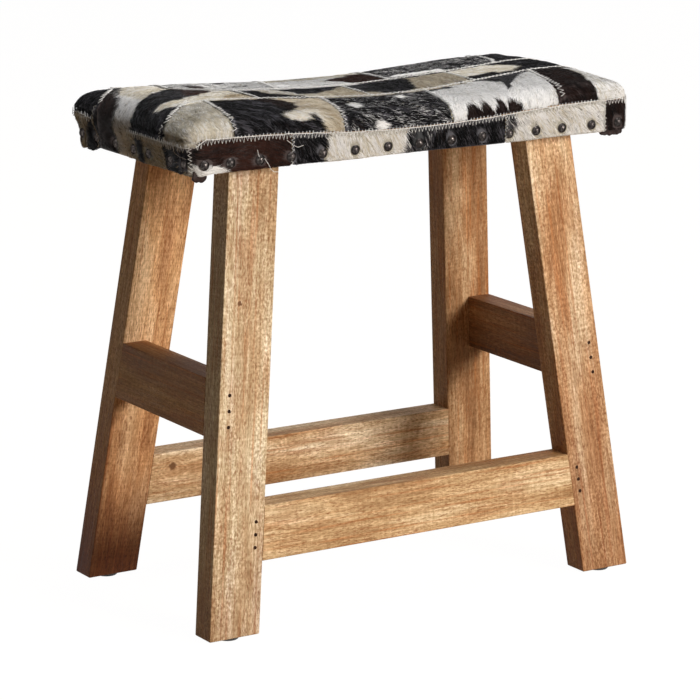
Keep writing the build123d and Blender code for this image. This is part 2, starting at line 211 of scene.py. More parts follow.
def grain_of(node):
    """The direction of a timber's grain, and the direction across its face."""
    low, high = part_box(node)
    size = high - low
    if node.startswith("leg_"):
        side = 1 if low.x > 0 else -1
        end = 1 if low.y > 0 else -1
        along = Vector((side * (size.x - LEG_WIDTH), end * (size.y - LEG_THICKNESS), -size.z)).normalized()
        return along, Vector((1, 0, 0))
    if size.x > size.y:
        return Vector((1, 0, 0)), Vector((0, 0, 1))
    return Vector((0, 1, 0)), Vector((0, 0, 1))


def make_mango_wood(node, tints, seed, light, middle, dark, curl, painted_shade=(), knots=(), swirls=()):
    """The wood of one timber: a pale honey brown, matt, with its own cut of the same figure."""
    material, tree, shader = new_material("mango_wood_" + node)
    along, across = grain_of(node)
    across = (across - along * across.dot(along)).normalized()
    turn = Matrix((along, across, along.cross(across))).to_euler()
    place = add_node(tree, "ShaderNodeTexCoord").outputs["Object"]
    grain = add_node(tree, "ShaderNodeMapping", {
        "Vector": place, "Rotation": turn, "Location": (1.7 * seed, 0.9 * seed, 0.4 * seed)})
    layer, read = {}, {}
    for name, (length, width, detail) in WOOD_LAYERS.items():
        scaled = add_node(tree, "ShaderNodeVectorMath", {
            0: grain.outputs[0], 1: (1 / length, 1 / width, 1 / width)}, operation="MULTIPLY")
        noise = add_node(tree, "ShaderNodeTexNoise", {
            "Vector": scaled.outputs[0], "Scale": 1.0, "Detail": detail})
        layer[name] = noise.outputs["Fac"]
    for name, (low, high, to_low, to_high) in WOOD_READINGS.items():
        read[name] = add_node(tree, "ShaderNodeMapRange", {
            "Value": layer[name], "From Min": low, "From Max": high, "To Min": to_low, "To Max": to_high,
        }).outputs[0]

    colour = add_node(tree, "ShaderNodeValToRGB", {"Fac": layer["tone"]}, stops=[
        (0.34, srgb(dark)), (0.50, srgb(middle)), (0.64, srgb(light))]).outputs["Color"]
    for name in ("stain_and_painted_shade", "streaks"):
        colour = add_node(tree, "ShaderNodeMix", {0: read[name], 6: colour, 7: getattr(tints, name)},
                          data_type="RGBA").outputs[2]

    # Growth lines are contours of a slow noise, as plain-sawn boards show them, and they run round knots.
    turns = add_node(tree, "ShaderNodeMath", {0: layer["rings"], 1: 80.0}, operation="MULTIPLY").outputs[0]
    reaches = []
    for x, y, z in [knot[:3] for knot in knots] + list(swirls):
        reach = add_node(tree, "ShaderNodeVectorMath", {0: place, 1: (x * MM, y * MM, z * MM)},
                         operation="DISTANCE").outputs["Value"]
        bent = add_node(tree, "ShaderNodeMapRange", {
            "Value": reach, "From Max": 20 * MM, "To Min": 26.0, "To Max": 0.0})
        turns = add_node(tree, "ShaderNodeMath", {0: turns, 1: bent.outputs[0]}).outputs[0]
        reaches.append(reach)
    wave = add_node(tree, "ShaderNodeMath", {0: turns}, operation="SINE")
    lines = add_node(tree, "ShaderNodeMapRange", {
        "Value": wave.outputs[0], "From Min": -1.0, "To Min": 0.84, "To Max": 1.07})

    # Light and dark flecks of the cut fibres are longer along the grain, and round where it is curly.
    curly = add_node(tree, "ShaderNodeMath", {0: read["curl_zones"], 1: curl}, operation="MULTIPLY")
    depth = add_node(tree, "ShaderNodeMix", {0: curly.outputs[0], 2: read["flecks"], 3: read["curl"]},
                     data_type="FLOAT").outputs[0]
    for factor in (lines.outputs[0], read["fibre"], read["saw"]):
        depth = add_node(tree, "ShaderNodeMath", {0: depth, 1: factor}, operation="MULTIPLY").outputs[0]

    # What is dark in the wood is redder as well, and what is pale is nearer to cream.
    tint = add_node(tree, "ShaderNodeCombineXYZ", {
        channel: add_node(tree, "ShaderNodeMath", {0: depth, 1: power}, operation="POWER").outputs[0]
        for channel, power in enumerate((0.9, 1.1, 1.4))})
    colour = add_node(tree, "ShaderNodeMix", {0: 1.0, 6: colour, 7: tint.outputs[0]},
                      data_type="RGBA", blend_type="MULTIPLY").outputs[2]

    # Pores are finer than a pixel, so they are drawn a little wider than the real 0.3 mm.
    over = add_node(tree, "ShaderNodeMath", {0: layer["pores"], 1: read["pore_zones"]},
                    operation="SUBTRACT")
    pore = add_node(tree, "ShaderNodeMapRange", {"Value": over.outputs[0], "From Max": 0.05}).outputs[0]
    fill = add_node(tree, "ShaderNodeMath", {0: pore, 1: 0.55}, operation="MULTIPLY")
    colour = add_node(tree, "ShaderNodeMix", {0: fill.outputs[0], 6: colour, 7: tints.pores},
                      data_type="RGBA").outputs[2]

    # Painted shade: the timber is drawn darker, and redder, at the heights where less light reaches it.
    if painted_shade:
        height = add_node(tree, "ShaderNodeSeparateXYZ", {0: place}).outputs["Z"]
        part = add_node(tree, "ShaderNodeMath", {0: height, 1: 1 / PAINTED_SHADE_HEIGHTS[-1]}, operation="MULTIPLY")
        stain_and_painted_shade = add_node(tree, "ShaderNodeValToRGB", {"Fac": part.outputs[0]}, stops=[
            (z / PAINTED_SHADE_HEIGHTS[-1], (value, value ** 1.5, value ** 1.9))
            for z, value in zip(PAINTED_SHADE_HEIGHTS, painted_shade)])
        colour = add_node(tree, "ShaderNodeMix", {0: 1.0, 6: colour, 7: stain_and_painted_shade.outputs["Color"]},
                          data_type="RGBA", blend_type="MULTIPLY").outputs[2]

    # A knot has a ragged dark heart and an orange halo.
    for reach, (_, _, _, radius) in zip(reaches, knots):
        ragged = add_node(tree, "ShaderNodeMath", {0: layer["curl"], 1: 3.0 * MM, 2: reach},
                          operation="MULTIPLY_ADD")
        for inner, outer, strength, tint in ((0.7 * radius + 1.5, radius + 2.0, 0.92, tints.heart),
                                             (radius, 3.5 * radius, 0.35, tints.halo)):
            near = add_node(tree, "ShaderNodeMapRange", {
                "Value": ragged.outputs[0], "From Min": inner * MM, "From Max": outer * MM,
                "To Min": strength, "To Max": 0.0})
            colour = add_node(tree, "ShaderNodeMix", {0: near.outputs[0], 6: colour, 7: tint},
                              data_type="RGBA").outputs[2]
    tree.links.new(colour, shader.inputs["Base Color"])

    # The wax has worn unevenly, so the fibres are a little rougher than the zones between them.
    rough = add_node(tree, "ShaderNodeMapRange", {
        "Value": layer["fibre"], "From Min": 0.3, "From Max": 0.7, "To Min": 0.68, "To Max": 0.52})
    tree.links.new(rough.outputs[0], shader.inputs["Roughness"])
    shader.inputs["Specular IOR Level"].default_value = 0.22

    relief = layer["fibre"]
    for height, weight in ((pore, -0.9), (layer["saw"], 0.5)):
        relief = add_node(tree, "ShaderNodeMath", {0: height, 1: weight, 2: relief},
                          operation="MULTIPLY_ADD").outputs[0]
    bump = add_node(tree, "ShaderNodeBump", {"Height": relief, "Strength": 0.6, "Distance": BUMP_HEIGHT})
    tree.links.new(bump.outputs[0], shader.inputs["Normal"])
    return material


# The other materials

# The plainer materials, mottled by one noise: the sizes of its grain along x, y and z in millimetres, its
# detail, the colours from its low to its high places, and the values of the shader's own sockets. Some
# have a roughness from low to high places or a relief as well.
MOTTLED = {
    # Steel blackened in hot oil: near black, with paler and glossier wear
    "blackened_steel": {
        "grain": (2.2, 2.2, 2.2), "detail": 4.0, "roughness": (0.36, 0.22),
        "colours": ((0.35, "#282524"), (0.55, "#3F3A38"), (0.72, "#6C6661")),
        "sockets": {"Metallic": 1.0, "Specular Tint": grey(0.3)}},
    # Frame nails, whose sunk heads have rusted dark and filled with wax: brown black and dull
    "darkened_wire_nail": {
        "grain": (0.9, 0.9, 0.9), "detail": 2.0, "colours": ((0.4, "#1B1310"), (0.65, "#4A2F20")),
        "sockets": {"Roughness": 0.8, "Specular IOR Level": 0.1}},
    # Zinc-plated steel: a pale, slightly mottled grey metal
    "zinc_plated_steel": {
        "grain": (1.5, 1.5, 1.5), "detail": 2.0, "colours": ((0.3, "#9A9C9E"), (0.7, "#BFC1C2")),
        "sockets": {"Metallic": 1.0, "Roughness": 0.38}},
    # Short, dark red-brown hair on a fold of hide, streaked down its length
    "dark_brown_cowhide": {
        "grain": (0.5, 0.5, 5.0), "detail": 2.0, "relief": 0.5,
        "colours": ((0.35, "#140B09"), (0.65, "#2F1A14")),
        "sockets": {"Roughness": 0.6, "Specular IOR Level": 0.2}},
    # Black polyethylene, moulded: matt with a fine grain, scuffed grey by the floor
    "black_polyethylene": {
        "grain": (0.8, 0.8, 0.8), "detail": 3.0, "colours": ((0.4, "#161616"), (0.7, "#2C2B2A")),
        "sockets": {"Roughness": 0.6}},
    # Off-white cotton thread, twisted: matt, with a darker line between the plies
    "cotton_thread": {
        "grain": (0.9, 0.9, 0.9), "detail": 2.0, "colours": ((0.35, "#C9C7C2"), (0.6, "#F3F2EF")),
        "sockets": {"Roughness": 0.85}},
}


def make_mottled(name):
    look = MOTTLED[name]
    material, tree, shader = new_material(name)
    place = add_node(tree, "ShaderNodeTexCoord")
    scaled = add_node(tree, "ShaderNodeVectorMath", {
        0: place.outputs["Object"], 1: [1 / (size * MM) for size in look["grain"]]}, operation="MULTIPLY")
    mottle = add_node(tree, "ShaderNodeTexNoise", {
        "Vector": scaled.outputs[0], "Scale": 1.0, "Detail": look["detail"]}).outputs["Fac"]
    colour = add_node(tree, "ShaderNodeValToRGB", {"Fac": mottle}, stops=[
        (position, srgb(code)) for position, code in look["colours"]])
    tree.links.new(colour.outputs["Color"], shader.inputs["Base Color"])
    for socket, value in look["sockets"].items():
        shader.inputs[socket].default_value = value
    if "roughness" in look:
        low, high = look["roughness"]
        rough = add_node(tree, "ShaderNodeMapRange", {
            "Value": mottle, "From Min": 0.3, "From Max": 0.7, "To Min": low, "To Max": high})
        tree.links.new(rough.outputs[0], shader.inputs["Roughness"])
    if "relief" in look:
        bump = add_node(tree, "ShaderNodeBump", {
            "Height": mottle, "Strength": look["relief"], "Distance": BUMP_HEIGHT})
        tree.links.new(bump.outputs[0], shader.inputs["Normal"])
    return material


def make_leather(name):
    """Cowhide leather under its hair: the hair's colour at the skin, dull, with fine pores."""
    material, tree, shader = new_material(name)
    colour = add_node(tree, "ShaderNodeAttribute", attribute_name="coat")
    place = add_node(tree, "ShaderNodeTexCoord")
    pores = add_node(tree, "ShaderNodeTexNoise", {
        "Vector": place.outputs["Object"], "Scale": 1 / (1.2 * MM), "Detail": 3.0})
    shade = add_node(tree, "ShaderNodeMapRange", {
        "Value": pores.outputs["Fac"], "From Min": 0.3, "From Max": 0.7, "To Min": 0.7, "To Max": 1.05})
    mixed = add_node(tree, "ShaderNodeMix", {0: 1.0, 6: colour.outputs["Color"], 7: shade.outputs[0]},
                     data_type="RGBA", blend_type="MULTIPLY")
    tree.links.new(mixed.outputs[2], shader.inputs["Base Color"])
    shader.inputs["Roughness"].default_value = 0.7
    bump = add_node(tree, "ShaderNodeBump", {
        "Height": pores.outputs["Fac"], "Strength": 0.4, "Distance": BUMP_HEIGHT})
    tree.links.new(bump.outputs[0], shader.inputs["Normal"])
    return material


def make_foam():
    """Polyurethane foam, cut from a block: straw coloured and matt, with open cells."""
    material, tree, shader = new_material("polyurethane_foam")
    place = add_node(tree, "ShaderNodeTexCoord")
    cells = add_node(tree, "ShaderNodeTexVoronoi", {
        "Vector": place.outputs["Object"], "Scale": 1 / (0.9 * MM)})
    colour = add_node(tree, "ShaderNodeValToRGB", {"Fac": cells.outputs["Distance"]}, stops=[
        (0.0, srgb("#B9A97C")), (0.8, srgb("#E3D7B0"))])
    tree.links.new(colour.outputs["Color"], shader.inputs["Base Color"])
    shader.inputs["Roughness"].default_value = 0.95
    return material


# Cowhide. Every patch has a ground shade, marks painted over it in order, the way its hair lies in
# degrees, and a share of single hairs of another shade. Points are shares of half the seat's length and
# depth on the top, and of a side's half length and the border's height on the border.

# The shades of hair, whose colours are settings, and the mixes of shades with their shares
SHADES = ("white", "cream", "tan", "grey", "slate", "black", "sable", "brown")
MIXES = {
    "white": (("white", 0.86), ("cream", 0.08), ("grey", 0.06)),
    "ivory": (("cream", 0.28), ("white", 0.70), ("grey", 0.02)),
    "cream": (("cream", 0.60), ("white", 0.34), ("tan", 0.06)),
    "tan": (("tan", 0.58), ("cream", 0.36), ("brown", 0.06)),
    "beige": (("cream", 0.46), ("tan", 0.34), ("white", 0.11), ("grey", 0.09)),
    "grey": (("grey", 0.45), ("black", 0.35), ("white", 0.2)),
    # Slate, in this mix and in roan, is painted sheen: grey hairs in streaks where the gloss of black hair
    # would catch the light.
    "black": (("slate", 0.22), ("black", 0.66), ("sable", 0.12)),
    "sable": (("brown", 0.10), ("sable", 0.60), ("black", 0.30)),
    "brown": (("brown", 0.60), ("sable", 0.40)),
    "roan": (("black", 0.66), ("slate", 0.17), ("grey", 0.08), ("white", 0.09)),
}

COATS = {
    "hide_front_row_1": {"ground": "cream", "flow": -100, "marks": ()},
    "hide_front_row_2": {"ground": "beige", "flow": -40, "marks": (
        ("tan", ((-0.395, -0.45), (-0.365, -0.44), (-0.345, -1.1), (-0.39, -1.1))),
        ("cream", ((-0.62, -0.86), (-0.55, -0.78), (-0.42, -0.76), (-0.42, -0.96), (-0.62, -0.96))),
        ("black", ((-0.91, -1.1), (-0.82, -0.545), (-0.78, -0.3), (-0.682, -0.25), (-0.568, -0.28),
                   (-0.514, -0.33), (-0.475, -0.42), (-0.461, -0.55), (-0.475, -0.68), (-0.51, -0.76),
                   (-0.545, -0.79), (-0.585, -0.87), (-0.575, -0.925), (-0.52, -0.945), (-0.48, -0.92),
                   (-0.45, -0.83), (-0.435, -0.93), (-0.43, -1.1))),
        ("sable", ((-0.575, -0.29), (-0.514, -0.33), (-0.475, -0.42), (-0.461, -0.55), (-0.475, -0.68),
                   (-0.53, -0.76), (-0.565, -0.7), (-0.545, -0.55), (-0.57, -0.4))),
    )},
    "hide_front_row_3": {"ground": "black", "flow": -28, "speckle": ("white", 0.06), "marks": (
        ("roan", ((-0.02, -0.42), (0.222, -0.4), (0.241, -1.1), (0.08, -1.1), (0.01, -0.77))),
        ("white", ((-0.002, -0.504), (0.038, -0.504), (0.046, -0.592), (0.017, -0.63), (-0.004, -0.593))),
        ("white", ((-0.242, -0.637), (-0.2, -0.61), (-0.19, -0.708), (-0.225, -0.786), (-0.255, -0.726))),
        ("white", ((-0.205, -0.955), (-0.17, -0.94), (-0.144, -0.98), (-0.17, -0.998), (-0.206, -0.985))),
    )},
    "hide_front_row_4": {"ground": "white", "flow": -104, "marks": (
        ("sable", ((0.205, -1.1), (0.222, -0.97), (0.24, -0.9), (0.258, -0.88), (0.275, -0.91),
                   (0.29, -0.93), (0.303, -0.88), (0.322, -0.89), (0.338, -0.95), (0.352, -0.99),
                   (0.366, -0.93), (0.378, -0.88), (0.392, -0.89), (0.405, -0.95), (0.416, -0.975),
                   (0.43, -0.92), (0.444, -0.9), (0.458, -0.94), (0.47, -0.93), (0.486, -0.96),
                   (0.5, -1.1))),
        ("black", ((0.43, -0.33), (0.471, -0.39), (0.491, -0.46), (0.525, -0.51), (0.503, -0.64),
                   (0.481, -0.79), (0.512, -0.69), (0.545, -0.6), (0.585, -0.5), (0.66, -0.36),
                   (0.74, -0.25), (0.43, -0.25))),
        ("black", ((0.16, -0.5), (0.16, -0.4), (0.32, -0.38), (0.3, -0.45))),
    )},
    "hide_front_row_5": {"ground": "sable", "flow": -80, "marks": (
        ("ivory", ((0.84, -1.2), (0.84, -0.9), (0.85, -0.7), (0.873, -0.55), (0.875, -0.4), (0.86, -0.2),
                   (1.2, 0.4), (1.2, -1.2))),
    )},
    "hide_middle_row_1": {"ground": "cream", "flow": -150, "marks": (
        ("tan", ((-0.6, -0.05), (-0.52, 0.0), (-0.52, -0.3), (-0.66, -0.26))),
        ("white", ((-1.2, -0.1), (-0.95, -0.05), (-0.92, 0.15), (-0.92, 0.5), (-1.2, 0.5))),
        ("sable", ((-1.2, 0.29), (-1.0, 0.29), (-0.985, 0.31), (-0.955, 0.42), (-0.921, 0.6),
                   (-0.863, 0.829), (-0.79, 1.1), (-1.2, 1.1))),
        ("grey", ((-1.2, 0.25), (-1.0, 0.25), (-0.975, 0.28), (-0.935, 0.42), (-0.9, 0.56), (-0.841, 0.76),
                  (-0.75, 1.1), (-0.79, 1.1), (-0.863, 0.829), (-0.921, 0.6), (-0.955, 0.42),
                  (-0.985, 0.31), (-1.0, 0.29), (-1.2, 0.29))),
        ("black", ((-1.2, -0.03), (-1.0, -0.03), (-0.98, -0.01), (-0.952, 0.04), (-0.9, 0.13),
                   (-0.856, 0.209), (-0.757, 0.343), (-0.69, 0.42), (-0.64, 0.36), (-0.61, 0.22),
                   (-0.605, 0.16), (-0.638, 0.075), (-0.689, -0.005), (-0.758, -0.076), (-0.835, -0.18),
                   (-0.898, -0.21), (-0.947, -0.245), (-0.965, -0.27), (-0.955, -0.31), (-0.91, -0.35),
                   (-0.86, -0.36), (-0.95, -0.52), (-1.0, -0.61), (-1.2, -0.9))),
        ("brown", ((-0.77, -0.03), (-0.72, 0.25), (-0.74, 0.36), (-0.69, 0.42), (-0.64, 0.36),
                   (-0.61, 0.22), (-0.605, 0.16), (-0.638, 0.075), (-0.689, -0.005))),
    )},
    "hide_middle_row_2": {"ground": "beige", "flow": -62, "marks": (
        ("cream", ((-0.46, 0.2), (-0.36, 0.16), (-0.34, 0.0), (-0.3, -0.16), (-0.2, -0.3), (-0.3, -0.34),
                   (-0.45, 0.0))),
        ("black", ((-0.56, 0.22), (-0.46, 0.16), (-0.445, 0.05), (-0.456, -0.037), (-0.4, -0.14),
                   (-0.353, -0.226), (-0.281, -0.37), (-0.32, -0.42), (-0.56, -0.32))),
        ("black", ((-0.359, 0.13), (-0.063, 0.12), (-0.09, 0.04), (-0.122, -0.01), (-0.17, -0.1),
                   (-0.218, -0.152), (-0.274, -0.169), (-0.319, -0.143), (-0.335, -0.06), (-0.35, 0.03))),
    )},
    "hide_middle_row_3": {"ground": "beige", "flow": -84, "marks": (
        ("black", ((-0.08, 0.13), (0.24, 0.17), (0.245, 0.09), (0.235, 0.0), (0.21, -0.09), (0.194, -0.18),
                   (0.179, -0.3), (0.142, -0.36), (0.1, -0.41), (0.05, -0.42), (0.015, -0.36),
                   (-0.02, -0.27), (-0.08, -0.2))),
        ("sable", ((0.374, -0.29), (0.395, -0.29), (0.397, -0.37), (0.37, -0.36))),
    )},
    "hide_middle_row_4": {"ground": "black", "flow": -28, "marks": (
        ("cream", ((0.4, 0.18), (0.62, 0.22), (0.65, 0.12), (0.71, 0.0), (0.72, -0.09), (0.672, -0.17),
                   (0.6, -0.198), (0.58, -0.131), (0.521, -0.165), (0.466, -0.177), (0.4, -0.12))),
    )},
    "hide_back_row_1": {"ground": "black", "flow": 170, "marks": ()},
    "hide_back_row_2": {"ground": "white", "flow": -118, "speckle": ("grey", 0.1), "marks": (
        ("sable", ((-0.47, 0.66), (-0.42, 0.68), (-0.37, 0.92), (-0.44, 0.94))),
        ("grey", ((-0.45, 0.38), (-0.4, 0.37), (-0.39, 0.43), (-0.44, 0.44))),
        ("brown", ((-0.64, 0.36), (-0.58, 0.36), (-0.57, 0.52), (-0.61, 0.66), (-0.64, 0.56))),
        ("grey", ((-0.78, 0.36), (-0.71, 0.38), (-0.69, 0.54), (-0.72, 0.6))),
    )},
    "hide_back_row_3": {"ground": "white", "flow": -72, "marks": (
        ("cream", ((-0.3, 0.62), (0.1, 0.6), (0.24, 0.7), (0.24, 1.1), (-0.3, 1.1))),
        ("sable", ((-0.34, 0.64), (-0.3, 0.64), (-0.27, 0.78), (-0.31, 0.8))),
        ("grey", ((-0.09, 0.72), (-0.04, 0.74), (-0.02, 0.9), (-0.07, 0.9))),
        ("brown", ((-0.04, 0.42), (-0.01, 0.5), (0.05, 0.56), (0.1, 0.6), (0.13, 0.68), (0.22, 0.68),
                   (0.21, 0.1), (0.06, 0.1), (0.015, 0.22), (-0.01, 0.32))),
    )},
    "hide_back_row_4": {"ground": "black", "flow": -160, "speckle": ("white", 0.12), "marks": (
        ("roan", ((0.19, 0.14), (0.46, 0.14), (0.52, 0.36), (0.2, 0.36))),
        ("white", ((0.22, 0.22), (0.34, 0.22), (0.42, 0.22), (0.5, 0.2), (0.49, 0.32), (0.4, 0.3),
                   (0.28, 0.3))),
        ("roan", ((0.4, 0.7), (0.62, 0.6), (0.74, 0.5), (0.78, 1.1), (0.4, 1.1))),
    )},
    "hide_back_row_5": {"ground": "black", "flow": 10, "marks": ()},
    "hide_front_border_1": {"ground": "brown", "flow": -12, "marks": (
        ("black", ((-1.1, -0.2), (-0.988, -0.2), (-0.988, 1.2), (-1.1, 1.2))),
        ("white", ((-0.997, -0.3), (-0.997, 0.3), (-0.985, 0.36), (-0.965, 0.28), (-0.9, 0.22),
                   (-0.86, 0.12), (-0.84, -0.3))),
    )},
    "hide_front_border_2": {"ground": "ivory", "flow": -62, "marks": (
        ("black", ((-0.62, -0.2), (-0.62, 1.2), (-0.4, 1.2), (-0.415, 0.6), (-0.43, -0.2))),
        ("roan", ((-0.09, -0.2), (-0.03, 1.2), (0.11, 1.2), (0.05, -0.2))),
        ("black", ((0.04, -0.2), (0.1, 1.2), (0.44, 1.2), (0.44, -0.2))),
    )},
    "hide_front_border_3": {"ground": "ivory", "flow": -58, "speckle": ("black", 0.05), "marks": (
        ("roan", ((0.38, 0.2), (0.38, 1.2), (0.45, 1.2), (0.44, 0.5), (0.42, 0.2))),
    )},
    "hide_front_border_4": {"ground": "sable", "flow": -80, "marks": ()},
    "hide_left_border_1": {"ground": "black", "flow": -20, "speckle": ("white", 0.03), "marks": ()},
    "hide_left_border_2": {"ground": "cream", "flow": 200, "speckle": ("black", 0.1), "marks": (
        ("roan", ((-0.08, -0.2), (-0.06, 1.2), (-0.22, 1.2), (-0.2, 0.5), (-0.16, -0.2))),
    )},
    "hide_left_border_3": {"ground": "black", "flow": 185, "marks": (
        ("cream", ((0.84, -0.2), (0.78, 0.4), (0.7, 1.2), (1.2, 1.2), (1.2, -0.2))),
    )},
    "hide_right_border_1": {"ground": "brown", "flow": -70, "marks": ()},
    "hide_right_border_2": {"ground": "cream", "flow": -110, "speckle": ("tan", 0.1), "marks": ()},
    "hide_right_border_3": {"ground": "black", "flow": -40, "marks": ()},
    "hide_back_border_1": {"ground": "cream", "flow": 200, "speckle": ("grey", 0.2), "marks": (
        ("black", ((-0.9, -0.2), (-0.86, 1.2), (-0.7, 1.2), (-0.74, -0.2))),
        ("cream", ((-1.2, -0.2), (-1.2, 1.2), (-0.985, 1.2), (-0.985, -0.2))),
    )},
    "hide_back_border_2": {"ground": "black", "flow": -30, "marks": ()},
    "hide_back_border_3": {"ground": "white", "flow": -70, "speckle": ("black", 0.06), "marks": (
        ("sable", ((0.2, -0.2), (0.24, 1.2), (0.4, 1.2), (0.34, -0.2))),
    )},
    "hide_back_border_4": {"ground": "brown", "flow": -15, "marks": ()},
}

# Where the cover is sewn a little off the joints of the frame's own patches, at the two ends: the patch,
# and outlines on it that wear the coat of another patch
SEWN_OVER = {
    "hide_front_row_5": (
        ("hide_middle_row_4", ((0.727, -0.285), (0.87, -0.29), (0.95, -0.295), (1.2, -0.31), (1.2, 0.3),
                               (0.95, -0.15), (0.87, -0.2))),
    ),
    "hide_front_row_1": (
        ("hide_middle_row_1", ((-1.2, -0.88), (-0.98, -0.56), (-0.88, -0.385), (-0.98, -0.45),
                               (-1.2, -0.45))),
    ),
    "hide_middle_row_1": (
        ("hide_back_row_1", ((-1.2, 0.25), (-1.0, 0.55), (-0.93, 0.68), (-0.79, 1.0), (-0.79, 1.1),
                             (-1.2, 1.1))),
    ),
    "hide_front_border_1": (
        ("hide_front_row_1", ((-1.2, 0.797), (-1.2, 1.3), (-0.988, 1.3), (-0.955, 1.0), (-0.988, 0.797))),
    ),
    "hide_back_border_1": (
        ("hide_back_row_1", ((-1.2, 0.91), (-1.2, 1.3), (-0.988, 1.3), (-0.955, 1.0), (-0.988, 0.91))),
    ),
    "hide_left_border_1": (
        ("hide_left_border_2", ((-0.57, -0.2), (-0.57, 1.2), (-0.4, 1.2), (-0.4, -0.2))),
        ("hide_front_row_1", ((-1.2, 0.797), (-1.2, 1.3), (-0.6, 1.3), (-0.6, 0.797))),
        ("hide_middle_row_1", ((-0.6, 0.797), (-0.6, 1.3), (-0.3, 1.3), (-0.3, 0.797))),
    ),
    "hide_left_border_2": (
        ("hide_middle_row_1", ((0.01, -0.2), (0.01, 0.797), (-0.6, 0.797), (-0.6, 1.3), (0.2, 1.3),
                               (0.2, -0.2))),
    ),
    "hide_left_border_3": (
        ("hide_back_row_1", ((0.5, 0.85), (0.5, 1.3), (1.2, 1.3), (1.2, 0.91), (0.83, 0.91))),
    ),
}

# Seams between patches of the top, as shares of half the seat's length and depth
ROW_SEAMS = (
    ((-0.999, -0.588), (-0.98, -0.56), (-0.88, -0.385), (-0.763, -0.30), (-0.527, -0.30), (-0.275, -0.37),
     (-0.045, -0.445), (0.184, -0.43), (0.445, -0.365), (0.727, -0.285), (0.87, -0.29), (0.95, -0.295),
     (0.99, -0.30)),
    ((-0.526, 0.15), (-0.34, 0.12), (-0.04, 0.10), (0.19, 0.135), (0.445, 0.15), (0.71, 0.19),
     (0.99, 0.25)),
)
COLUMN_SEAMS = (
    ((-0.815, -0.98), (-0.788, -0.56), (-0.763, -0.30)),
    ((-0.333, -0.98), (-0.294, -0.61), (-0.275, -0.37)),
    ((0.158, -0.98), (0.18, -0.51), (0.184, -0.43)),
    ((0.675, -0.98), (0.697, -0.60), (0.727, -0.285)),
    ((-0.999, 0.55), (-0.93, 0.68), (-0.80, 0.96)),
    ((-0.521, -0.30), (-0.526, 0.15), (-0.74, 0.42), (-0.69, 0.96)),
    ((-0.055, -0.44), (-0.060, 0.10)),
    ((0.4445, -0.365), (0.4435, 0.15)),
    ((-0.331, 0.12), (-0.227, 0.96)),
    ((0.19, 0.135), (0.226, 0.96)),
    ((0.71, 0.19), (0.755, 0.38), (0.797, 0.96)),
)
# Upright seams of the border, by side, as shares of the side's half length
BORDER_SEAMS = {
    "front": (-0.567, 0.40, 0.877),
    "back": (-0.62, -0.06, 0.55),
    "left": (-0.968, -0.57, 0.01, 0.58),
    "right": (-0.968, -0.30, 0.36, 0.841),
}
# Those that run on up the swollen end to a seam of the top
SEAMS_OVER_RIM = (("left", -0.57), ("left", 0.58))
# Where the whipped seam runs along each side. At the left end a patch of the top runs down to the hem.
RIM_RUNS = {
    "front": ((-0.985, 0.985),),
    "back": ((-0.985, 0.985),),
    "left": ((-0.97, 0.01), (0.58, 0.97)),
    "right": ((-0.97, 0.97),),
}

# Loose ends of thread, as points in millimetres
LOOSE_THREADS = (
    ((-182.5, -115, 467.7), (-181.6, -115, 462.6), (-180.0, -115, 460.5)),
    ((-176.6, -118, 459.6), (-172.4, -118, 453.7), (-169.0, -117, 448.3), (-165.5, -117, 445.8),
     (-160.6, -117, 445.3)),
    ((-256, -71.0, 472.6), (-256, -85.4, 468.3), (-256, -96.8, 465.4), (-253, -106.2, 463.4)),
    ((-256, 65.0, 476.0), (-257, 55.0, 480.0), (-257, 45.0, 484.0), (-256, 35.0, 482.0)),
    ((-150, -114, 474.0), (-143, -114, 468.5), (-138, -114, 466.0), (-131, -114, 467.5)),
)
# Folded tabs of the hem that hang out below its corners: the middle of the top edge, the width and the
# drop, in millimetres
HEM_TABS = (
    ("front_left", (-241.5, -108.5, 448.0), 15.0, 6.5),
    ("front_right", (230.5, -109.5, 450.0), 27.0, 6.0),
)


def make_hair_material(shade, colour):
    """Cow hair of one shade: smooth, with a soft gloss along each hair."""
    material, _, shader = new_material("cow_hair_" + shade)
    shader.inputs["Base Color"].default_value = colour
    shader.inputs["Roughness"].default_value = 0.42
    shader.inputs["Specular IOR Level"].default_value = 0.04
    return material


# Numbers on arrays of points

def ripples(points, wavelength, seed, count=9):
    """A smooth, repeatable unevenness from -1 to 1 at each point, made of waves in many directions."""
    rng = np.random.default_rng(seed)
    directions = rng.normal(size=(count, points.shape[1]))
    directions *= tau / wavelength / np.linalg.norm(directions, axis=1, keepdims=True)
    directions *= rng.uniform(0.6, 1.5, (count, 1))
    phases = rng.uniform(0, tau, count)
    return np.clip(np.sin(points @ directions.T + phases).sum(axis=1) / count ** 0.5, -1.5, 1.5)


def inside(x, y, outline):
    """Which points lie inside a closed outline."""
    result = np.zeros(len(x), bool)
    for (x0, y0), (x1, y1) in zip(outline, outline[1:] + outline[:1]):
        if y0 == y1:
            continue
        crosses = (y0 > y) != (y1 > y)
        result ^= crosses & (x < (x1 - x0) * (y - y0) / (y1 - y0) + x0)
    return result


def unit(vectors):
    return vectors / np.maximum(np.linalg.norm(vectors, axis=1, keepdims=True), 1e-9)


def seam_height(x):
    """The height of the seam between border and top, which follows the saddle."""
    half_run = SADDLE_RUN / 2
    rise = (SEAM_HEIGHT_AT_ENDS - SEAM_HEIGHT_AT_MIDDLE) / 2
    x = np.abs(x)
    inner = SEAM_HEIGHT_AT_MIDDLE + rise * (x / half_run) ** 2
    outer = SEAM_HEIGHT_AT_ENDS - rise * (np.maximum(SADDLE_RUN - x, 0) / half_run) ** 2
    return np.where(x < half_run, inner, outer)


def outward(points):
    """The direction away from the core of the seat."""
    reach = 45 * MM
    core = np.array([HALF_LENGTH - reach, HALF_DEPTH - reach])
    nearest = points.copy()
    nearest[:, :2] = np.clip(points[:, :2], -core, core)
    nearest[:, 2] = np.clip(points[:, 2], HEM_HEIGHT, HEM_HEIGHT + reach / 2)
    return unit(points - nearest)


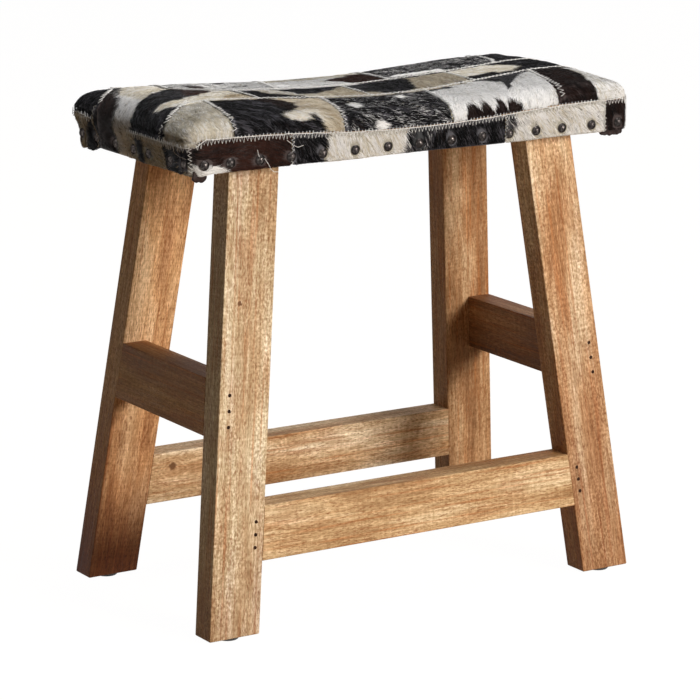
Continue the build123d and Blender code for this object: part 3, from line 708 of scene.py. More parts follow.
def even_path(points, step):
    """A path walked in equal steps."""
    points = np.array(points)
    walked = np.concatenate([[0], np.cumsum(np.linalg.norm(np.diff(points, axis=0), axis=1))])
    marks = np.arange(0, walked[-1], step)
    return np.stack([np.interp(marks, walked, points[:, i]) for i in range(3)], axis=1)


# Coats

def axes_of(name):
    """The two axes that a patch is laid out on: its run and height on the border, x and y on the top."""
    if "_border_" not in name:
        return [0, 1]
    return [0, 2] if "_front_" in name or "_back_" in name else [1, 2]


def patch_coordinates(name, points):
    """A patch's own pair of coordinates, as shares of half the seat's sizes and of the border's height."""
    shares = (points - (0, 0, HEM_HEIGHT)) / (HALF_LENGTH, HALF_DEPTH, SEAM_HEIGHT_AT_ENDS - HEM_HEIGHT)
    return shares[:, axes_of(name)].T


def coats_worn(name, points):
    """The number of the patch whose coat each point of a patch wears."""
    a, b = patch_coordinates(name, points)
    worn = np.full(len(points), HIDE_NODES.index(name))
    for other, outline in SEWN_OVER.get(name, ()):
        worn[inside(a, b, list(outline))] = HIDE_NODES.index(other)
    return worn


def coat_at(name, points, rng):
    """The mix of hair at each point of one coat, as its place in MIXES."""
    coat = COATS[name]
    names = list(MIXES)
    a, b = patch_coordinates(name, points)
    result = np.full(len(points), names.index(coat["ground"]))
    for shade, outline in coat["marks"]:
        result[inside(a, b, list(outline))] = names.index(shade)
    if "speckle" in coat:
        shade, share = coat["speckle"]
        clumps = ripples(points, 7 * MM, 5) * 0.5 + ripples(points, 22 * MM, 6) * 0.5
        result[rng.random(len(points)) < share * np.clip(1 + 1.6 * clumps, 0, 4)] = names.index(shade)
    return result


def mixes_at(worn, points, rng):
    """The mix of hair at each point, by the number of the patch whose coat it wears."""
    mixes = np.zeros(len(points), int)
    for number in np.unique(worn):
        chosen = worn == number
        mixes[chosen] = coat_at(HIDE_NODES[number], points[chosen], rng)
    return mixes


def flow_at(name, points, normals):
    """The way the hair lies at each point of a coat, along its surface."""
    angle = radians(COATS[name]["flow"])
    base = np.array([0.0, 0.0, 0.0 if "_border_" in name else -0.25])
    base[axes_of(name)] = cos(angle), sin(angle)
    flow = unit(base - normals * (normals @ base)[:, None])
    side = np.cross(normals, flow)
    turn = 0.30 * ripples(points, 70 * MM, 11) + 0.22 * ripples(points, 18 * MM, 12)
    return flow * np.cos(turn)[:, None] + side * np.sin(turn)[:, None]


# Objects and meshes

def add_object(name, data):
    obj = bpy.data.objects.new(name, data)
    bpy.context.scene.collection.objects.link(obj)
    return obj


def select_only(obj):
    bpy.ops.object.select_all(action="DESELECT")
    obj.select_set(True)
    bpy.context.view_layer.objects.active = obj


def apply_modifier(obj, name):
    select_only(obj)
    bpy.ops.object.modifier_apply(modifier=name)


def copy_of_node(node, name):
    """A free copy of a CAD node's mesh with its loose triangles merged."""
    mesh = frame["nodes"][node].data.copy()
    mesh.materials.clear()
    obj = add_object(name, mesh)
    select_only(obj)
    bpy.ops.object.mode_set(mode="EDIT")
    bpy.ops.mesh.select_all(action="SELECT")
    bpy.ops.mesh.remove_doubles(threshold=0.02 * MM)
    bpy.ops.mesh.customdata_custom_splitnormals_clear()
    bpy.ops.object.mode_set(mode="OBJECT")
    return obj


def remesh(obj, voxel):
    """Makes a mesh anew from even faces, about as large as a voxel."""
    modifier = obj.modifiers.new("even", "REMESH")
    modifier.mode = "VOXEL"
    modifier.voxel_size = voxel
    modifier.use_smooth_shade = True
    apply_modifier(obj, "even")


def get_points(mesh, what="co"):
    values = np.empty(len(mesh.vertices) * 3, np.float32)
    mesh.vertices.foreach_get(what, values)
    return values.reshape(-1, 3).astype(float)


def set_points(mesh, points):
    mesh.vertices.foreach_set("co", points.astype(np.float32).ravel())
    mesh.update()


def tree_of(points):
    """A tree that finds the nearest of some points."""
    tree = KDTree(len(points))
    for index, point in enumerate(points):
        tree.insert(point, index)
    tree.balance()
    return tree


def distances(tree, points):
    return np.array([tree.find(point)[2] for point in points])


def finish_nodes(material, *nodes):
    """Gives a material to nodes of the frame."""
    for node in nodes:
        for slot in frame["nodes"][node].material_slots:
            slot.material = material


def seat_piece(obj, slot, *nodes):
    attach(obj, BODY)
    if nodes:
        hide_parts(*nodes)


# The cover, its seams and its nails

def settled(points, outer, settings, nails):
    """How the cover leaves the frame's form: fuller at both ends, bulging at the left end between the
    nails that draw it in, and hanging a little low at the hem."""
    move = np.zeros_like(points)
    above = np.clip((points[:, 2] - seam_height(points[:, 0])) / (14 * MM), 0, 1)
    outwards = np.clip((np.abs(points[:, 0]) / HALF_LENGTH - 0.45) / 0.4, 0, 1)
    move[:, 2] += settings.end_fullness * above * outwards ** 2 * (3 - 2 * outwards)

    from_left = points[:, 0] + HALF_LENGTH
    rise = np.clip((points[:, 2] - HEM_HEIGHT - 2 * MM) / (48 * MM), 0, 1)
    end = np.clip(1 - from_left / (26 * MM), 0, 1)
    swollen = settings.left_bulge * np.sin(pi * rise) * end ** 2 * (3 - 2 * end) * outer
    swollen *= 1 - np.exp(-(distances(nails, points) / (13 * MM)) ** 2)
    move[:, 0] -= swollen
    move[:, 1] += 0.5 * swollen * np.clip(points[:, 1] / HALF_DEPTH, 0, 1)

    # The hem hangs lowest at the back left corner, a little along the left end, and waves elsewhere.
    low = np.clip(1 - (points[:, 2] - HEM_HEIGHT) / (16 * MM), 0, 1)
    corner = np.exp(-(from_left / (30 * MM)) ** 2)
    corner *= np.clip((points[:, 1] - 0.62 * HALF_DEPTH) / (12 * MM), 0, 1)
    left = np.exp(-(from_left / (14 * MM)) ** 2)
    hang = settings.hem_drop * corner + 0.7 * MM * np.clip(ripples(points, 90 * MM, 21), 0, 1)
    hang += 2.0 * MM * left * (1 + np.clip(-points[:, 1] / HALF_DEPTH * 10 - 9, 0, 1))
    move[:, 2] -= hang * low
    return move


def cover_tree():
    """All the patches as one tree for rays, with the number of the patch of each face."""
    points, faces, owners = [], [], []
    for number, node in enumerate(HIDE_NODES):
        mesh = bpy.data.objects[node.replace("hide_", "patch_")].data
        offset = len(points)
        points += [tuple(vertex.co) for vertex in mesh.vertices]
        faces += [[offset + index for index in face.vertices] for face in mesh.polygons]
        owners += [number] * len(mesh.polygons)
    return BVHTree.FromPolygons(points, faces), np.array(owners)


def on_cover(tree, point, out=None):
    """The place on the cover that a point belongs to, and the cover's direction there. Rays on all sides
    of the point bridge the joint between two patches."""
    out = out or Vector(outward(np.array([point]))[0])
    aside = out.orthogonal().normalized() * 1.2 * MM
    best, facing = None, out
    for offset in (aside * 0, aside, -aside, out.cross(aside), -out.cross(aside)):
        hit, normal, _, _ = tree.ray_cast(Vector(point) + offset + out * 25 * MM, -out)
        if hit is not None and (best is None or (hit - offset).dot(out) > best.dot(out)):
            best = hit - offset
            facing = normal if normal.dot(out) > 0.2 else out
    if best is None:
        return Vector(point), out
    return best, facing


def wall_point(side, share, z):
    """A point on a side of the seat, by its share of the side's half length."""
    if side in ("front", "back"):
        return (share * HALF_LENGTH, -HALF_DEPTH if side == "front" else HALF_DEPTH, z)
    return (-HALF_LENGTH if side == "left" else HALF_LENGTH, share * HALF_DEPTH, z)


def rim_height(x, y):
    """The height of the seam between top and border on the cover. At the left end it hangs lower, but less
    so behind the middle."""
    drop = LEFT_SEAM_DROP * min(max((CORNER_RADIUS - HALF_LENGTH - x) / CORNER_RADIUS, 0.0) * 1.2, 1.0)
    drop *= 1 - 0.6 * min(max(y / HALF_DEPTH - 0.5, 0.0) * 3, 1.0)
    return float(seam_height(np.array([x]))[0]) - drop


def top_path(tree, seam):
    """A seam of the top, dropped onto the cover from above."""
    path = []
    for (x0, y0), (x1, y1) in zip(seam, seam[1:]):
        for part in np.arange(80) / 80:
            x = (x0 + (x1 - x0) * part) * HALF_LENGTH
            y = (y0 + (y1 - y0) * part) * HALF_DEPTH
            path.append(on_cover(tree, (x, y, SEAM_HEIGHT_AT_ENDS + 15 * MM), Vector((0, 0, 1)))[0])
    return path


def seam_paths(tree):
    """All seams of the cover as lists of paths: on the top, upright on the border, and round its edge."""
    top = [top_path(tree, seam) for seam in ROW_SEAMS + COLUMN_SEAMS]
    upright, rim = [], []
    for side, seams in BORDER_SEAMS.items():
        for share in seams:
            x, y, _ = wall_point(side, share, 0)
            top_end = rim_height(x, y) + (14 * MM if (side, share) in SEAMS_OVER_RIM else 0)
            upright.append([on_cover(tree, wall_point(side, share, z))[0]
                            for z in np.linspace(HEM_HEIGHT + 0.5 * MM, top_end, 24)])
        for start, end in RIM_RUNS[side]:
            path = []
            for share in np.linspace(start, end, 160):
                x, y, _ = wall_point(side, share, 0)
                path.append(on_cover(tree, (x, y, rim_height(x, y)))[0])
            rim.append(path)
    return top, upright, rim


def nail_places():
    """Where the upholstery nails stand on the cover."""
    places = []
    for side in SIDES:
        axis = 0 if side in ("front", "back") else 1
        points = get_points(frame["nodes"]["upholstery_nails_" + side].data)
        points = points[np.argsort(points[:, axis])]

        # Nails stand apart by more than 5 mm, and the points of one nail don't.
        gaps = np.flatnonzero(np.diff(points[:, axis]) > 5 * MM) + 1
        wall = wall_point(side, 0, 0)
        for nail in np.split(points, gaps):
            middle = (nail.min(axis=0) + nail.max(axis=0)) / 2
            middle[1 - axis] = wall[1 - axis]
            places.append(middle)
    return np.array(places)


# Hair

def hair_roots(patch, density, rng):
    """Roots spread evenly over the outer face of a patch, with the surface's normal at each."""
    mesh = patch.data
    mesh.calc_loop_triangles()
    corners = np.empty(len(mesh.loop_triangles) * 3, np.int32)
    mesh.loop_triangles.foreach_get("vertices", corners)
    corners = corners.reshape(-1, 3)
    points = get_points(mesh)
    normals = get_points(mesh, "normal")
    a, b, c = (points[corners[:, i]] for i in range(3))
    cross = np.cross(b - a, c - a)
    area = np.linalg.norm(cross, axis=1) / 2
    middle = (a + b + c) / 3
    facing = (unit(cross) * outward(middle)).sum(axis=1)
    hairy = (facing > 0.4) & (unit(cross)[:, 2] > -0.5)
    area = area * hairy
    count = int(density * area.sum() / MM ** 2)
    pick = rng.choice(len(area), count, p=area / area.sum())
    u, v = rng.random((2, count))
    over = u + v > 1
    u[over], v[over] = 1 - u[over], 1 - v[over]
    weights = np.stack([1 - u - v, u, v], axis=1)
    root = (points[corners[pick]] * weights[:, :, None]).sum(axis=1)
    normal = unit((normals[corners[pick]] * weights[:, :, None]).sum(axis=1))
    return root, normal


def hair_shades(mixes, root, flow, side, rng):
    """The shade of each hair, drawn from its mix, as its place in SHADES. Hairs of like shade lie in
    streaks along the flow."""
    along = np.stack([root @ flow.mean(axis=0) / 6, root @ side.mean(axis=0)], axis=1)
    streak = 0.6 * ripples(along, 2.6 * MM, 34) + 0.6 * ripples(along, 11 * MM, 35)
    draw = np.clip(rng.random(len(root)) * 0.5 + 0.25 + 0.27 * streak, 0, 0.999)
    result = np.zeros(len(root), int)
    for index, mix in enumerate(MIXES.values()):
        limits = np.cumsum([share for _, share in mix])
        choice = np.minimum(np.searchsorted(limits, draw), len(limits) - 1)
        codes = np.array([SHADES.index(shade) for shade, _ in mix])
        chosen = mixes == index
        result[chosen] = codes[choice[chosen]]
    return result


def hair_ends(surface, owners, worn, root, flow, length):
    """Where each hair ends on the cover. One that would lie over the next coat is cut short, as its seam
    cuts it."""
    held = np.empty_like(root)
    beyond = np.arange(len(root))
    for part in (1.0, 0.55, 0.25):
        ends = root[beyond] + flow[beyond] * (length[beyond] * part)[:, None]
        found = [surface.find_nearest(end) for end in ends]
        held[beyond] = [place for place, _, _, _ in found]
        patches = owners[[face for _, _, face, _ in found]]
        landed = np.empty(len(beyond), int)
        for number in np.unique(patches):
            chosen = patches == number
            landed[chosen] = coats_worn(HIDE_NODES[number], held[beyond][chosen])
        beyond = beyond[landed != worn[beyond]]
    return held


def strand_points(root, normal, side, held, lift, width, rng):
    """The five points of each hair: two at its root, two at its middle and its tip."""
    count = len(root)
    rise = rng.uniform(0.3, 1.15, count) + 0.25 * ripples(root, 9 * MM, 33)
    tip = held + normal * (np.maximum(rise, 0.15) * lift * MM)[:, None]
    middle = (root + tip) / 2 + normal * (rng.uniform(0.25, 0.7, count) * lift * MM)[:, None]
    roll = rng.normal(0, 0.45, count)[:, None]
    across = side * np.cos(roll) + normal * np.sin(roll)
    across *= width / 2 * rng.uniform(0.7, 1.2, count)[:, None]
    foot = root - normal * (0.2 * MM)
    narrower = across * 0.8
    return np.stack([foot - across, foot + across, middle - narrower, middle + narrower, tip], axis=1)


def clear_of_nails(strands, nails):
    """Which hairs lie over no nail, seen straight on."""
    clear = np.ones(len(strands), bool)
    for nail, out in zip(nails, outward(nails)):
        offset = strands[:, [0, 2, 4]] - nail
        offset -= (offset @ out)[:, :, None] * out * 0.8
        clear &= np.linalg.norm(offset, axis=2).min(axis=1) > NAIL_CLEARANCE
    return clear


def add_strands(name, strands, kinds, materials):
    """One mesh of hairs. Each is a flat ribbon of five points, one quad and one triangle."""
    count = len(strands)
    mesh = bpy.data.meshes.new(name)
    mesh.vertices.add(count * 5)
    mesh.vertices.foreach_set("co", strands.astype(np.float32).ravel())
    base = np.arange(count)[:, None] * 5
    loops = (base + np.array([0, 1, 3, 2, 2, 3, 4])).ravel()
    mesh.loops.add(len(loops))
    mesh.loops.foreach_set("vertex_index", loops.astype(np.int32))
    mesh.polygons.add(count * 2)
    starts = (np.arange(count)[:, None] * 7 + np.array([0, 4])).ravel()
    mesh.polygons.foreach_set("loop_start", starts.astype(np.int32))
    used = np.unique(kinds)
    for kind in used:
        mesh.materials.append(materials[kind])
    mesh.polygons.foreach_set("material_index", np.repeat(np.searchsorted(used, kinds), 2).astype(np.int32))
    mesh.update(calc_edges=True)
    return add_object(name, mesh)


# Thread

def zigzag(path, tree, pitch, width, lift, rng):
    """The points of a zigzag that crosses a path from side to side and lies on the cover."""
    steps = even_path(path, pitch / 2)
    if len(steps) < 3:
        return []
    ahead = unit(np.gradient(steps, axis=0))
    result = []
    for index, (point, along) in enumerate(zip(steps, ahead)):
        _, normal = on_cover(tree, point)
        side = Vector(along).cross(normal).normalized()
        sway = width / 2 * (1 if index % 2 else -1) * rng.uniform(0.8, 1.15)
        slide = Vector(along) * rng.normal(0, 0.06) * pitch
        place, normal = on_cover(tree, Vector(point) + side * sway + slide)
        result.append(place + normal * lift)
    return result


def whipping(path, tree, pitch, reach, lift, rng):
    """The teeth of a whipped seam, which cross a path from a little above it and run down the border."""
    steps = even_path(path, pitch / 2)
    result = []
    for index, point in enumerate(steps):
        drop = Vector((0, 0, (-reach if index % 2 else 0.5 * reach) * rng.uniform(0.75, 1.15)))
        slide = Vector(steps[min(index + 1, len(steps) - 1)] - point) * rng.normal(0, 0.12)
        place, normal = on_cover(tree, Vector(point) + drop + slide)
        result.append(place + normal * lift)
    return result


def add_threads(name, paths, radius, material):
    """Threads along paths, as one mesh of thin tubes."""
    data = bpy.data.curves.new(name, "CURVE")
    data.dimensions = "3D"
    data.bevel_depth = radius
    data.bevel_resolution = 1
    for path in paths:
        if len(path) < 2:
            continue
        spline = data.splines.new("POLY")
        spline.points.add(len(path) - 1)
        for point, place in zip(spline.points, path):
            point.co = (*place, 1.0)
    obj = add_object(name, data)
    obj.data.materials.append(material)
    select_only(obj)
    bpy.ops.object.convert(target="MESH")
    return obj


# Stage

def add_camera(scene):
    """The photograph's viewpoint, worked out from the edges of the frame."""
    eye = Vector((-1.7935, -2.7959, 1.0308))
    heading, pitch, roll = radians(32.60), radians(-13.55), radians(0.42)
    ahead = Vector((sin(heading) * cos(pitch), cos(heading) * cos(pitch), sin(pitch)))
    level = Vector((cos(heading), -sin(heading), 0))
    upright = level.cross(ahead)
    right = level * cos(roll) + upright * sin(roll)
    up = upright * cos(roll) - level * sin(roll)
    data = bpy.data.cameras.new("camera")
    data.lens = 175.7
    data.sensor_width = 36.0
    camera = add_object("camera", data)
    camera.matrix_world = Matrix.Translation(eye) @ Matrix((right, up, -ahead)).transposed().to_4x4()
    scene.camera = camera


def add_lamp(name, power, place, size, tint):
    """A soft square lamp that shines on the stool and isn't seen itself."""
    light = bpy.data.lights.new(name, "AREA")
    light.energy = power
    light.size = size
    light.color = srgb(tint)[:3]
    lamp = add_object(name, light)
    lamp.location = place
    lamp.visible_camera = False
    lamp.rotation_euler = (Vector((0, 0, 0.3)) - Vector(place)).to_track_quat("-Z", "Y").to_euler()


def make_room(ambient, colour):
    """A room that looks white and gives only a little tinted light."""
    world = bpy.data.worlds.new("pale_room")
    world.use_nodes = True
    tree = world.node_tree
    tree.nodes.clear()
    seen = seen_directly(tree)
    strength = add_node(tree, "ShaderNodeMapRange", {"Value": seen, "To Min": ambient, "To Max": 1.0})
    tint = add_node(tree, "ShaderNodeMix", {0: seen, 6: colour, 7: grey(1.0)}, data_type="RGBA")
    background = add_node(tree, "ShaderNodeBackground", {
        "Color": tint.outputs[2], "Strength": strength.outputs[0]})
    add_node(tree, "ShaderNodeOutputWorld", {"Surface": background.outputs[0]})
    return world


def make_white_paper(colour):
    """White paper that looks evenly lit, with the stool's shadow on it. The glow is only seen, and lights
    nothing."""
    material = bpy.data.materials.new("white_paper")
    material.use_nodes = True
    tree = material.node_tree
    tree.nodes.clear()
    share = add_node(tree, "ShaderNodeMath", {0: seen_directly(tree), 1: 0.80}, operation="MULTIPLY")
    paper = add_node(tree, "ShaderNodeBsdfDiffuse", {"Color": colour})
    glow = add_node(tree, "ShaderNodeEmission", {"Color": grey(1.0), "Strength": 1.235})
    mixed = add_node(tree, "ShaderNodeMixShader", {
        0: share.outputs[0], 1: paper.outputs[0], 2: glow.outputs[0]})
    add_node(tree, "ShaderNodeOutputMaterial", {"Surface": mixed.outputs[0]})
    return material


# Settings

def colour_property(name, description, code):
    return bpy.props.FloatVectorProperty(
        name=name, description=description, default=srgb(code), size=4, min=0.0, max=1.0, subtype="COLOR")


class StoolTimberSettings(bpy.types.PropertyGroup):
    stain_and_painted_shade: colour_property("Stain", "Colour of the reddish zones of the wood", "#B27C50")
    streaks: colour_property("Streaks", "Colour of the streaks along the grain", "#B8743E")
    pores: colour_property("Pores", "Colour of the pores", "#8A4F22")
    heart: colour_property("Heart", "Colour of the heart of a knot", "#331C11")
    halo: colour_property("Halo", "Colour of the wood round a knot", "#A06A3C")


class StoolHairSettings(bpy.types.PropertyGroup):
    white: colour_property("White", "Colour of white hair", "#F6F5F3")
    cream: colour_property("Cream", "Colour of cream hair", "#DBD3C0")
    tan: colour_property("Tan", "Colour of tan hair", "#B5A58B")
    grey: colour_property("Grey", "Colour of grey hair", "#8F8C89")
    # Painted sheen: grey hairs laid in streaks among the black, where black hair would catch the light.
    slate: colour_property("Slate", "Colour of the glossiest black hair", "#5C5A60")
    black: colour_property("Black", "Colour of black hair", "#040405")
    sable: colour_property("Sable", "Colour of brown black hair", "#1F1411")
    brown: colour_property("Brown", "Colour of red brown hair", "#38211A")


class StoolSeatSettings(bpy.types.PropertyGroup):
    hair_density: bpy.props.FloatProperty(
        name="Hair density", description="Tufts of hair on each square millimetre of hide",
        default=2.1, min=0.05, subtype="UNSIGNED")
    hair_length: bpy.props.FloatProperty(
        name="Hair length", description="Length of a lying hair", default=8.0 * MM, unit="LENGTH")
    hair_width: bpy.props.FloatProperty(
        name="Hair width", description="Width of a tuft of hairs at its root",
        default=0.28 * MM, unit="LENGTH")
    hair_depth: bpy.props.FloatProperty(
        name="Hair depth", description="Room that the lying hair takes over the skin",
        default=1.5 * MM, unit="LENGTH")
    swell: bpy.props.FloatProperty(
        name="Swell", description="How far the pad may swell under its cover",
        default=1.0 * MM, unit="LENGTH")
    end_fullness: bpy.props.FloatProperty(
        name="End fullness", description="How much fuller the pad is at both ends",
        default=2.2 * MM, unit="LENGTH")
    left_bulge: bpy.props.FloatProperty(
        name="Left bulge", description="How far the cover bulges out at its left end",
        default=7.0 * MM, unit="LENGTH")
    hem_drop: bpy.props.FloatProperty(
        name="Hem drop", description="How far the hem hangs at the back left corner",
        default=4.5 * MM, unit="LENGTH")
    stitch_pitch: bpy.props.FloatProperty(
        name="Stitch pitch", description="Length of one zigzag of a seam", default=3.9 * MM, unit="LENGTH")
    stitch_width: bpy.props.FloatProperty(
        name="Stitch width", description="Width of the zigzag", default=3.6 * MM, unit="LENGTH")
    thread_radius: bpy.props.FloatProperty(
        name="Thread radius", description="Radius of the sewing thread",
        default=0.35 * MM, unit="LENGTH")


class StoolStageSettings(bpy.types.PropertyGroup):
    key_power: bpy.props.FloatProperty(
        name="Key power", description="Power of the large soft lamp at the front right",
        default=365.0, unit="POWER")
    fill_power: bpy.props.FloatProperty(
        name="Fill power", description="Power of the weak lamp at the left", default=0.3, unit="POWER")
    top_power: bpy.props.FloatProperty(
        name="Top power", description="Power of the soft lamp overhead", default=9.0, unit="POWER")
    ambient: bpy.props.FloatProperty(
        name="Ambient", description="Light of the pale room", default=0.017, min=0.0, max=1.0,
        subtype="FACTOR")
    room_colour: colour_property("Room colour", "Colour of the light that the room gives", "#FFDCBA")
    paper_colour: colour_property("Paper colour", "Colour of the paper where the stool shades it", "#A8906F")


# Operators

class STOOL_OT_stage(bpy.types.Operator):
    """Adds the camera, the lamps, the pale room and the floor"""
    bl_idname = "stool.stage"
    bl_label = "Stage"

    def execute(self, context):
        scene = context.scene
        settings = scene.stool_stage
        scene.view_settings.view_transform = "Standard"
        add_camera(scene)
        add_lamp("key", settings.key_power, (2.0, -5.4, 2.05), 2.0, "#FFFAF5")
        add_lamp("fill", settings.fill_power, (-2.4, -0.6, 1.2), 1.6, "#FFE9D2")
        add_lamp("top", settings.top_power, (0.1, -0.1, 1.45), 0.9, "#FBFCFF")
        scene.world = make_room(settings.ambient, settings.room_colour)
        bpy.ops.mesh.primitive_plane_add(size=24.0)
        floor = context.object
        floor.name = "floor"
        floor.data.materials.append(make_white_paper(settings.paper_colour))
        return {"FINISHED"}


class STOOL_OT_timbers(bpy.types.Operator):
    """Finishes the legs, the stretchers and the board in mango wood"""
    bl_idname = "stool.timbers"
    bl_label = "Timbers"

    def execute(self, context):
        for node, look in TIMBERS.items():
            finish_nodes(make_mango_wood(node, context.scene.stool_timber, **look), node)
        return {"FINISHED"}


class STOOL_OT_metalwork(bpy.types.Operator):
    """Finishes the nails, the screws and the glides"""
    bl_idname = "stool.metalwork"
    bl_label = "Metalwork and glides"

    def execute(self, context):
        finish_nodes(make_mottled("blackened_steel"), *["upholstery_nails_" + side for side in SIDES])
        finish_nodes(make_mottled("darkened_wire_nail"), *[side + "_stretcher_nails" for side in SIDES])
        finish_nodes(make_mottled("zinc_plated_steel"), "leg_screws", "glide_nails")
        finish_nodes(make_mottled("black_polyethylene"), *["glide_" + corner for corner in CORNERS])
        return {"FINISHED"}


class STOOL_OT_pad(bpy.types.Operator):
    """Makes the foam pad, swollen a little by a cloth simulation"""
    bl_idname = "stool.pad"
    bl_label = "Foam pad"

    def execute(self, context):
        settings = context.scene.stool_seat
        pad = copy_of_node("seat_foam", "seat_pad")
        remesh(pad, PAD_VOXEL)
        before = get_points(pad.data)

        # Air pressure swells the pad above the seam of the border, where it is held.
        held = pad.vertex_groups.new(name="held")
        low = before[:, 2] < seam_height(before[:, 0]) + 3 * MM
        held.add([int(i) for i in np.flatnonzero(low)], 1.0, "REPLACE")
        cloth = pad.modifiers.new("swell", "CLOTH")
        cloth.settings.use_pressure = True
        cloth.settings.uniform_pressure_force = 4.0
        cloth.settings.effector_weights.gravity = 0.0
        cloth.settings.vertex_group_mass = "held"
        cloth.point_cache.frame_end = SWELL_FRAMES
        for step in range(1, SWELL_FRAMES + 1):
            context.scene.frame_set(step)
        apply_modifier(pad, "swell")
        context.scene.frame_set(1)
        moved = get_points(pad.data) - before
        distance = np.linalg.norm(moved, axis=1, keepdims=True)
        moved *= np.minimum(1.0, settings.swell / np.maximum(distance, 1e-9))
        set_points(pad.data, before + moved)
        swell = pad.data.attributes.new("swell", "FLOAT_VECTOR", "POINT")
        swell.data.foreach_set("vector", moved.astype(np.float32).ravel())
        pad.modifiers.new("smooth", "SUBSURF").levels = 1
        apply_modifier(pad, "smooth")
        pad.data.materials.append(make_foam())
        seat_piece(pad, "foam", "seat_foam")
        return {"FINISHED"}


class STOOL_OT_patches(bpy.types.Operator):
    """Makes the leather of each patch, drawn in at its seams and lying on the swollen pad"""
    bl_idname = "stool.patches"
    bl_label = "Hide patches"

    def execute(self, context):
        settings = context.scene.stool_seat
        pad = bpy.data.objects["seat_pad"].data
        at = get_points(pad)
        swell = np.empty(len(at) * 3, np.float32)
        pad.attributes["swell"].data.foreach_get("vector", swell)
        swell = swell.reshape(-1, 3).astype(float)
        pad_tree = tree_of(at - swell)
        nails = tree_of(nail_places())
        leather = make_leather("hair_on_cowhide")
        rng = np.random.default_rng(3)
        colours = context.scene.stool_hair
        roots = np.array([tuple(getattr(colours, mix[0][0])) for mix in MIXES.values()])
        roots[:, :3] *= 0.6
        for node in HIDE_NODES:
            patch = copy_of_node(node, node.replace("hide_", "patch_"))
            remesh(patch, PATCH_VOXEL)
            points = get_points(patch.data)
            normals = get_points(patch.data, "normal")
            facing = (normals * outward(points)).sum(axis=1)

            # The seams, which are the patch's narrow sides, draw it in.
            away = distances(tree_of(points[np.abs(facing) < 0.5]), points)
            puff = 0.7 * MM * (1 - np.exp(-away / (7 * MM))) - 0.5 * MM * np.exp(-(away / (1.8 * MM)) ** 2)
            outer = facing > 0.3
            move = normals * ((puff - settings.hair_depth) * outer)[:, None]
            if "_row_" in node:
                near = [pad_tree.find(point)[1] for point in points]
                above = np.clip((points[:, 2] - seam_height(points[:, 0])) / (4 * MM), 0, 1)
                move += swell[near] * above[:, None]
            set_points(patch.data, points + move + settled(points, outer, settings, nails))

            # The skin takes the main shade of its hair, darker.
            mixes = mixes_at(coats_worn(node, points), points, rng)
            attribute = patch.data.color_attributes.new("coat", "FLOAT_COLOR", "POINT")
            attribute.data.foreach_set("color", roots[mixes].astype(np.float32).ravel())
            patch.data.materials.append(leather)
            seat_piece(patch, SLOTS[node], node)
        return {"FINISHED"}


class STOOL_OT_hair(bpy.types.Operator):
    """Grows the hair of every patch, lying along its flow and mixed from a few shades"""
    bl_idname = "stool.hair"
    bl_label = "Hair"

    def execute(self, context):
        settings = context.scene.stool_seat
        colours = context.scene.stool_hair
        materials = [make_hair_material(shade, getattr(colours, shade)) for shade in SHADES]
        surface, owners = cover_tree()
        nails = nail_places()
        seams = tree_of([point for paths in seam_paths(surface) for path in paths for point in path])
        for number, node in enumerate(HIDE_NODES):
            rng = np.random.default_rng(100 + number)
            patch = bpy.data.objects[node.replace("hide_", "patch_")]
            root, normal = hair_roots(patch, settings.hair_density, rng)
            count = len(root)
            worn = coats_worn(node, root)
            flow = np.zeros((count, 3))
            for coat in np.unique(worn):
                chosen = worn == coat
                flow[chosen] = flow_at(HIDE_NODES[coat], root[chosen], normal[chosen])
            side = np.cross(normal, flow)

            # Hairs take their colour from a place a little way off, which blurs every boundary.
            shift = rng.normal(0, 1.3 * MM, count)[:, None] * flow
            shift += rng.normal(0, 0.4 * MM, count)[:, None] * side
            shift += (ripples(root, 14 * MM, 31) * 1.3 * MM)[:, None] * flow
            shade = hair_shades(mixes_at(worn, root + shift, rng), root, flow, side, rng)

            turn = rng.normal(0, 0.07, count) + 0.11 * ripples(root, 5 * MM, 32)
            flow = flow * np.cos(turn)[:, None] + side * np.sin(turn)[:, None]
            side = np.cross(normal, flow)
            length = settings.hair_length * rng.uniform(0.7, 1.15, count)
            held = hair_ends(surface, owners, worn, root, flow, length)

            # Hair lies flatter near a seam, where the thread and the fold hold it down.
            lift = 0.3 + 0.7 * np.clip(distances(seams, root) / (4 * MM), 0, 1)
            strands = strand_points(root, normal, side, held, lift, settings.hair_width, rng)
            clear = clear_of_nails(strands, nails)
            hair = add_strands(node.replace("hide_", "hair_"), strands[clear], shade[clear], materials)
            seat_piece(hair, SLOTS[node])
        return {"FINISHED"}


class STOOL_OT_seams(bpy.types.Operator):
    """Sews the zigzag seams between the patches and the whipped seam round the border"""
    bl_idname = "stool.seams"
    bl_label = "Seams"

    def execute(self, context):
        settings = context.scene.stool_seat
        rng = np.random.default_rng(7)
        tree, _ = cover_tree()
        cotton = make_mottled("cotton_thread")
        pitch, width, radius = settings.stitch_pitch, settings.stitch_width, settings.thread_radius
        lift = 1.4 * MM
        top, upright, rim = seam_paths(tree)
        stitches = {
            "top": [zigzag(path, tree, 1.3 * pitch, 1.5 * width, lift, rng) for path in top],
            "upright": [zigzag(path, tree, pitch, width, lift, rng) for path in upright],
            "rim": [whipping(path, tree, pitch, 1.2 * width, 1.5 * MM, rng) for path in rim],
        }
        for path in rim:
            laid = [on_cover(tree, point) for point in even_path(path, 3 * MM)]
            stitches["rim"].append([place + normal * lift for place, normal in laid])
        for name, paths in stitches.items():
            seat_piece(add_threads("seam_thread_" + name, paths, radius, cotton), "cowhide_cream")
        loose = [even_path([Vector(point) * MM for point in path], 1.5 * MM) for path in LOOSE_THREADS]
        seat_piece(add_threads("loose_threads", loose, 0.7 * radius, cotton), "cowhide_cream")
        return {"FINISHED"}


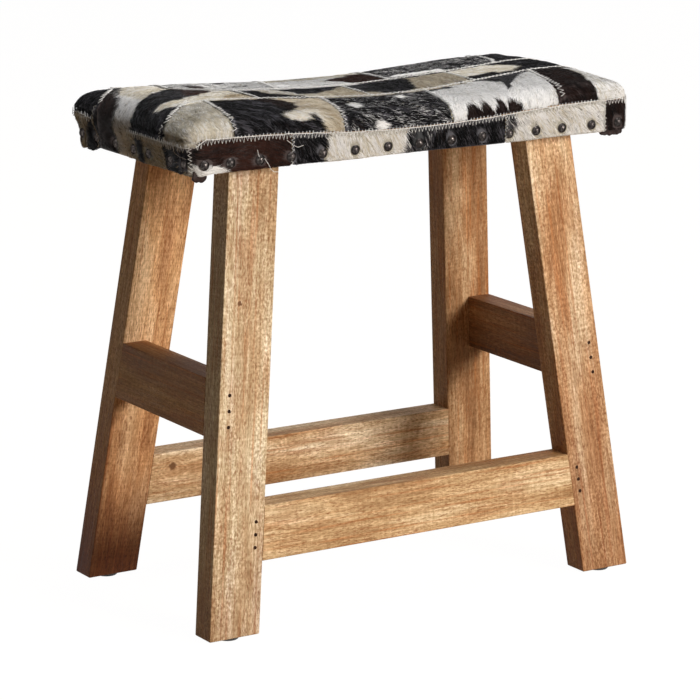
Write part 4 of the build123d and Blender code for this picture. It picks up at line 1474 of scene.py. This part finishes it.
class STOOL_OT_hem_tabs(bpy.types.Operator):
    """Makes the folded tabs of hide that hang below two corners of the hem"""
    bl_idname = "stool.hem_tabs"
    bl_label = "Hem tabs"

    def execute(self, context):
        hide = make_mottled("dark_brown_cowhide")
        for name, place, width, drop in HEM_TABS:
            bpy.ops.mesh.primitive_cube_add(size=1.0)
            tab = context.object
            tab.name = "hem_tab_" + name

            # The hide reaches 6 mm up behind the hem, and is folded to a thickness of 3 mm.
            tab.scale = (width * MM, 3.0 * MM, (drop + 6.0) * MM)
            tab.location = Vector(place) * MM - Vector((0, 0, (drop - 6.0) / 2 * MM))
            select_only(tab)
            bpy.ops.object.transform_apply(location=True, rotation=True, scale=True)
            rounding = tab.modifiers.new("rounding", "BEVEL")
            rounding.width = 1.4 * MM
            rounding.segments = 3
            apply_modifier(tab, "rounding")
            remesh(tab, 0.7 * MM)
            points = get_points(tab.data)
            normals = get_points(tab.data, "normal")
            points += normals * (0.6 * MM * ripples(points, 7 * MM, 41))[:, None]
            middle = points.mean(axis=0)
            outwards = np.abs(points[:, 0] - middle[0]) / (width / 2 * MM)
            points[:, 2] = middle[2] + (points[:, 2] - middle[2]) * (1 - 0.4 * np.clip(outwards, 0, 1) ** 4)
            points[:, 1] += 1.2 * MM * ripples(points[:, [0, 2]], 24 * MM, 42)
            set_points(tab.data, points)
            bpy.ops.object.shade_smooth()
            tab.data.materials.append(hide)
            seat_piece(tab, "cowhide_brown")
        return {"FINISHED"}


# Panel and registration

class STOOL_PT_panel(bpy.types.Panel):
    """Lists the steps that dress the stool, and their settings"""
    bl_label = "Stool"
    bl_idname = "STOOL_PT_panel"
    bl_space_type = "VIEW_3D"
    bl_region_type = "UI"
    bl_category = "Stool"

    def draw(self, context):
        for operator in OPERATORS:
            self.layout.operator(operator.bl_idname)
        for group, cls in SETTINGS.items():
            for name in cls.__annotations__:
                self.layout.prop(getattr(context.scene, group), name)


OPERATORS = (STOOL_OT_stage, STOOL_OT_timbers, STOOL_OT_metalwork, STOOL_OT_pad, STOOL_OT_patches,
             STOOL_OT_hair, STOOL_OT_seams, STOOL_OT_hem_tabs)
SETTINGS = {"stool_timber": StoolTimberSettings, "stool_hair": StoolHairSettings,
            "stool_seat": StoolSeatSettings, "stool_stage": StoolStageSettings}
CLASSES = (*SETTINGS.values(), *OPERATORS, STOOL_PT_panel)


def register():
    for cls in CLASSES:
        bpy.utils.register_class(cls)
    for group, cls in SETTINGS.items():
        setattr(bpy.types.Scene, group, bpy.props.PointerProperty(type=cls))


def unregister():
    for group in SETTINGS:
        delattr(bpy.types.Scene, group)
    for cls in reversed(CLASSES):
        bpy.utils.unregister_class(cls)


def main():
    register()
    bpy.ops.stool.stage()
    bpy.ops.stool.timbers()
    bpy.ops.stool.metalwork()
    bpy.ops.stool.pad()
    bpy.ops.stool.patches()
    bpy.ops.stool.hair()
    bpy.ops.stool.seams()
    bpy.ops.stool.hem_tabs()


if __name__ == "__main__":
    main()
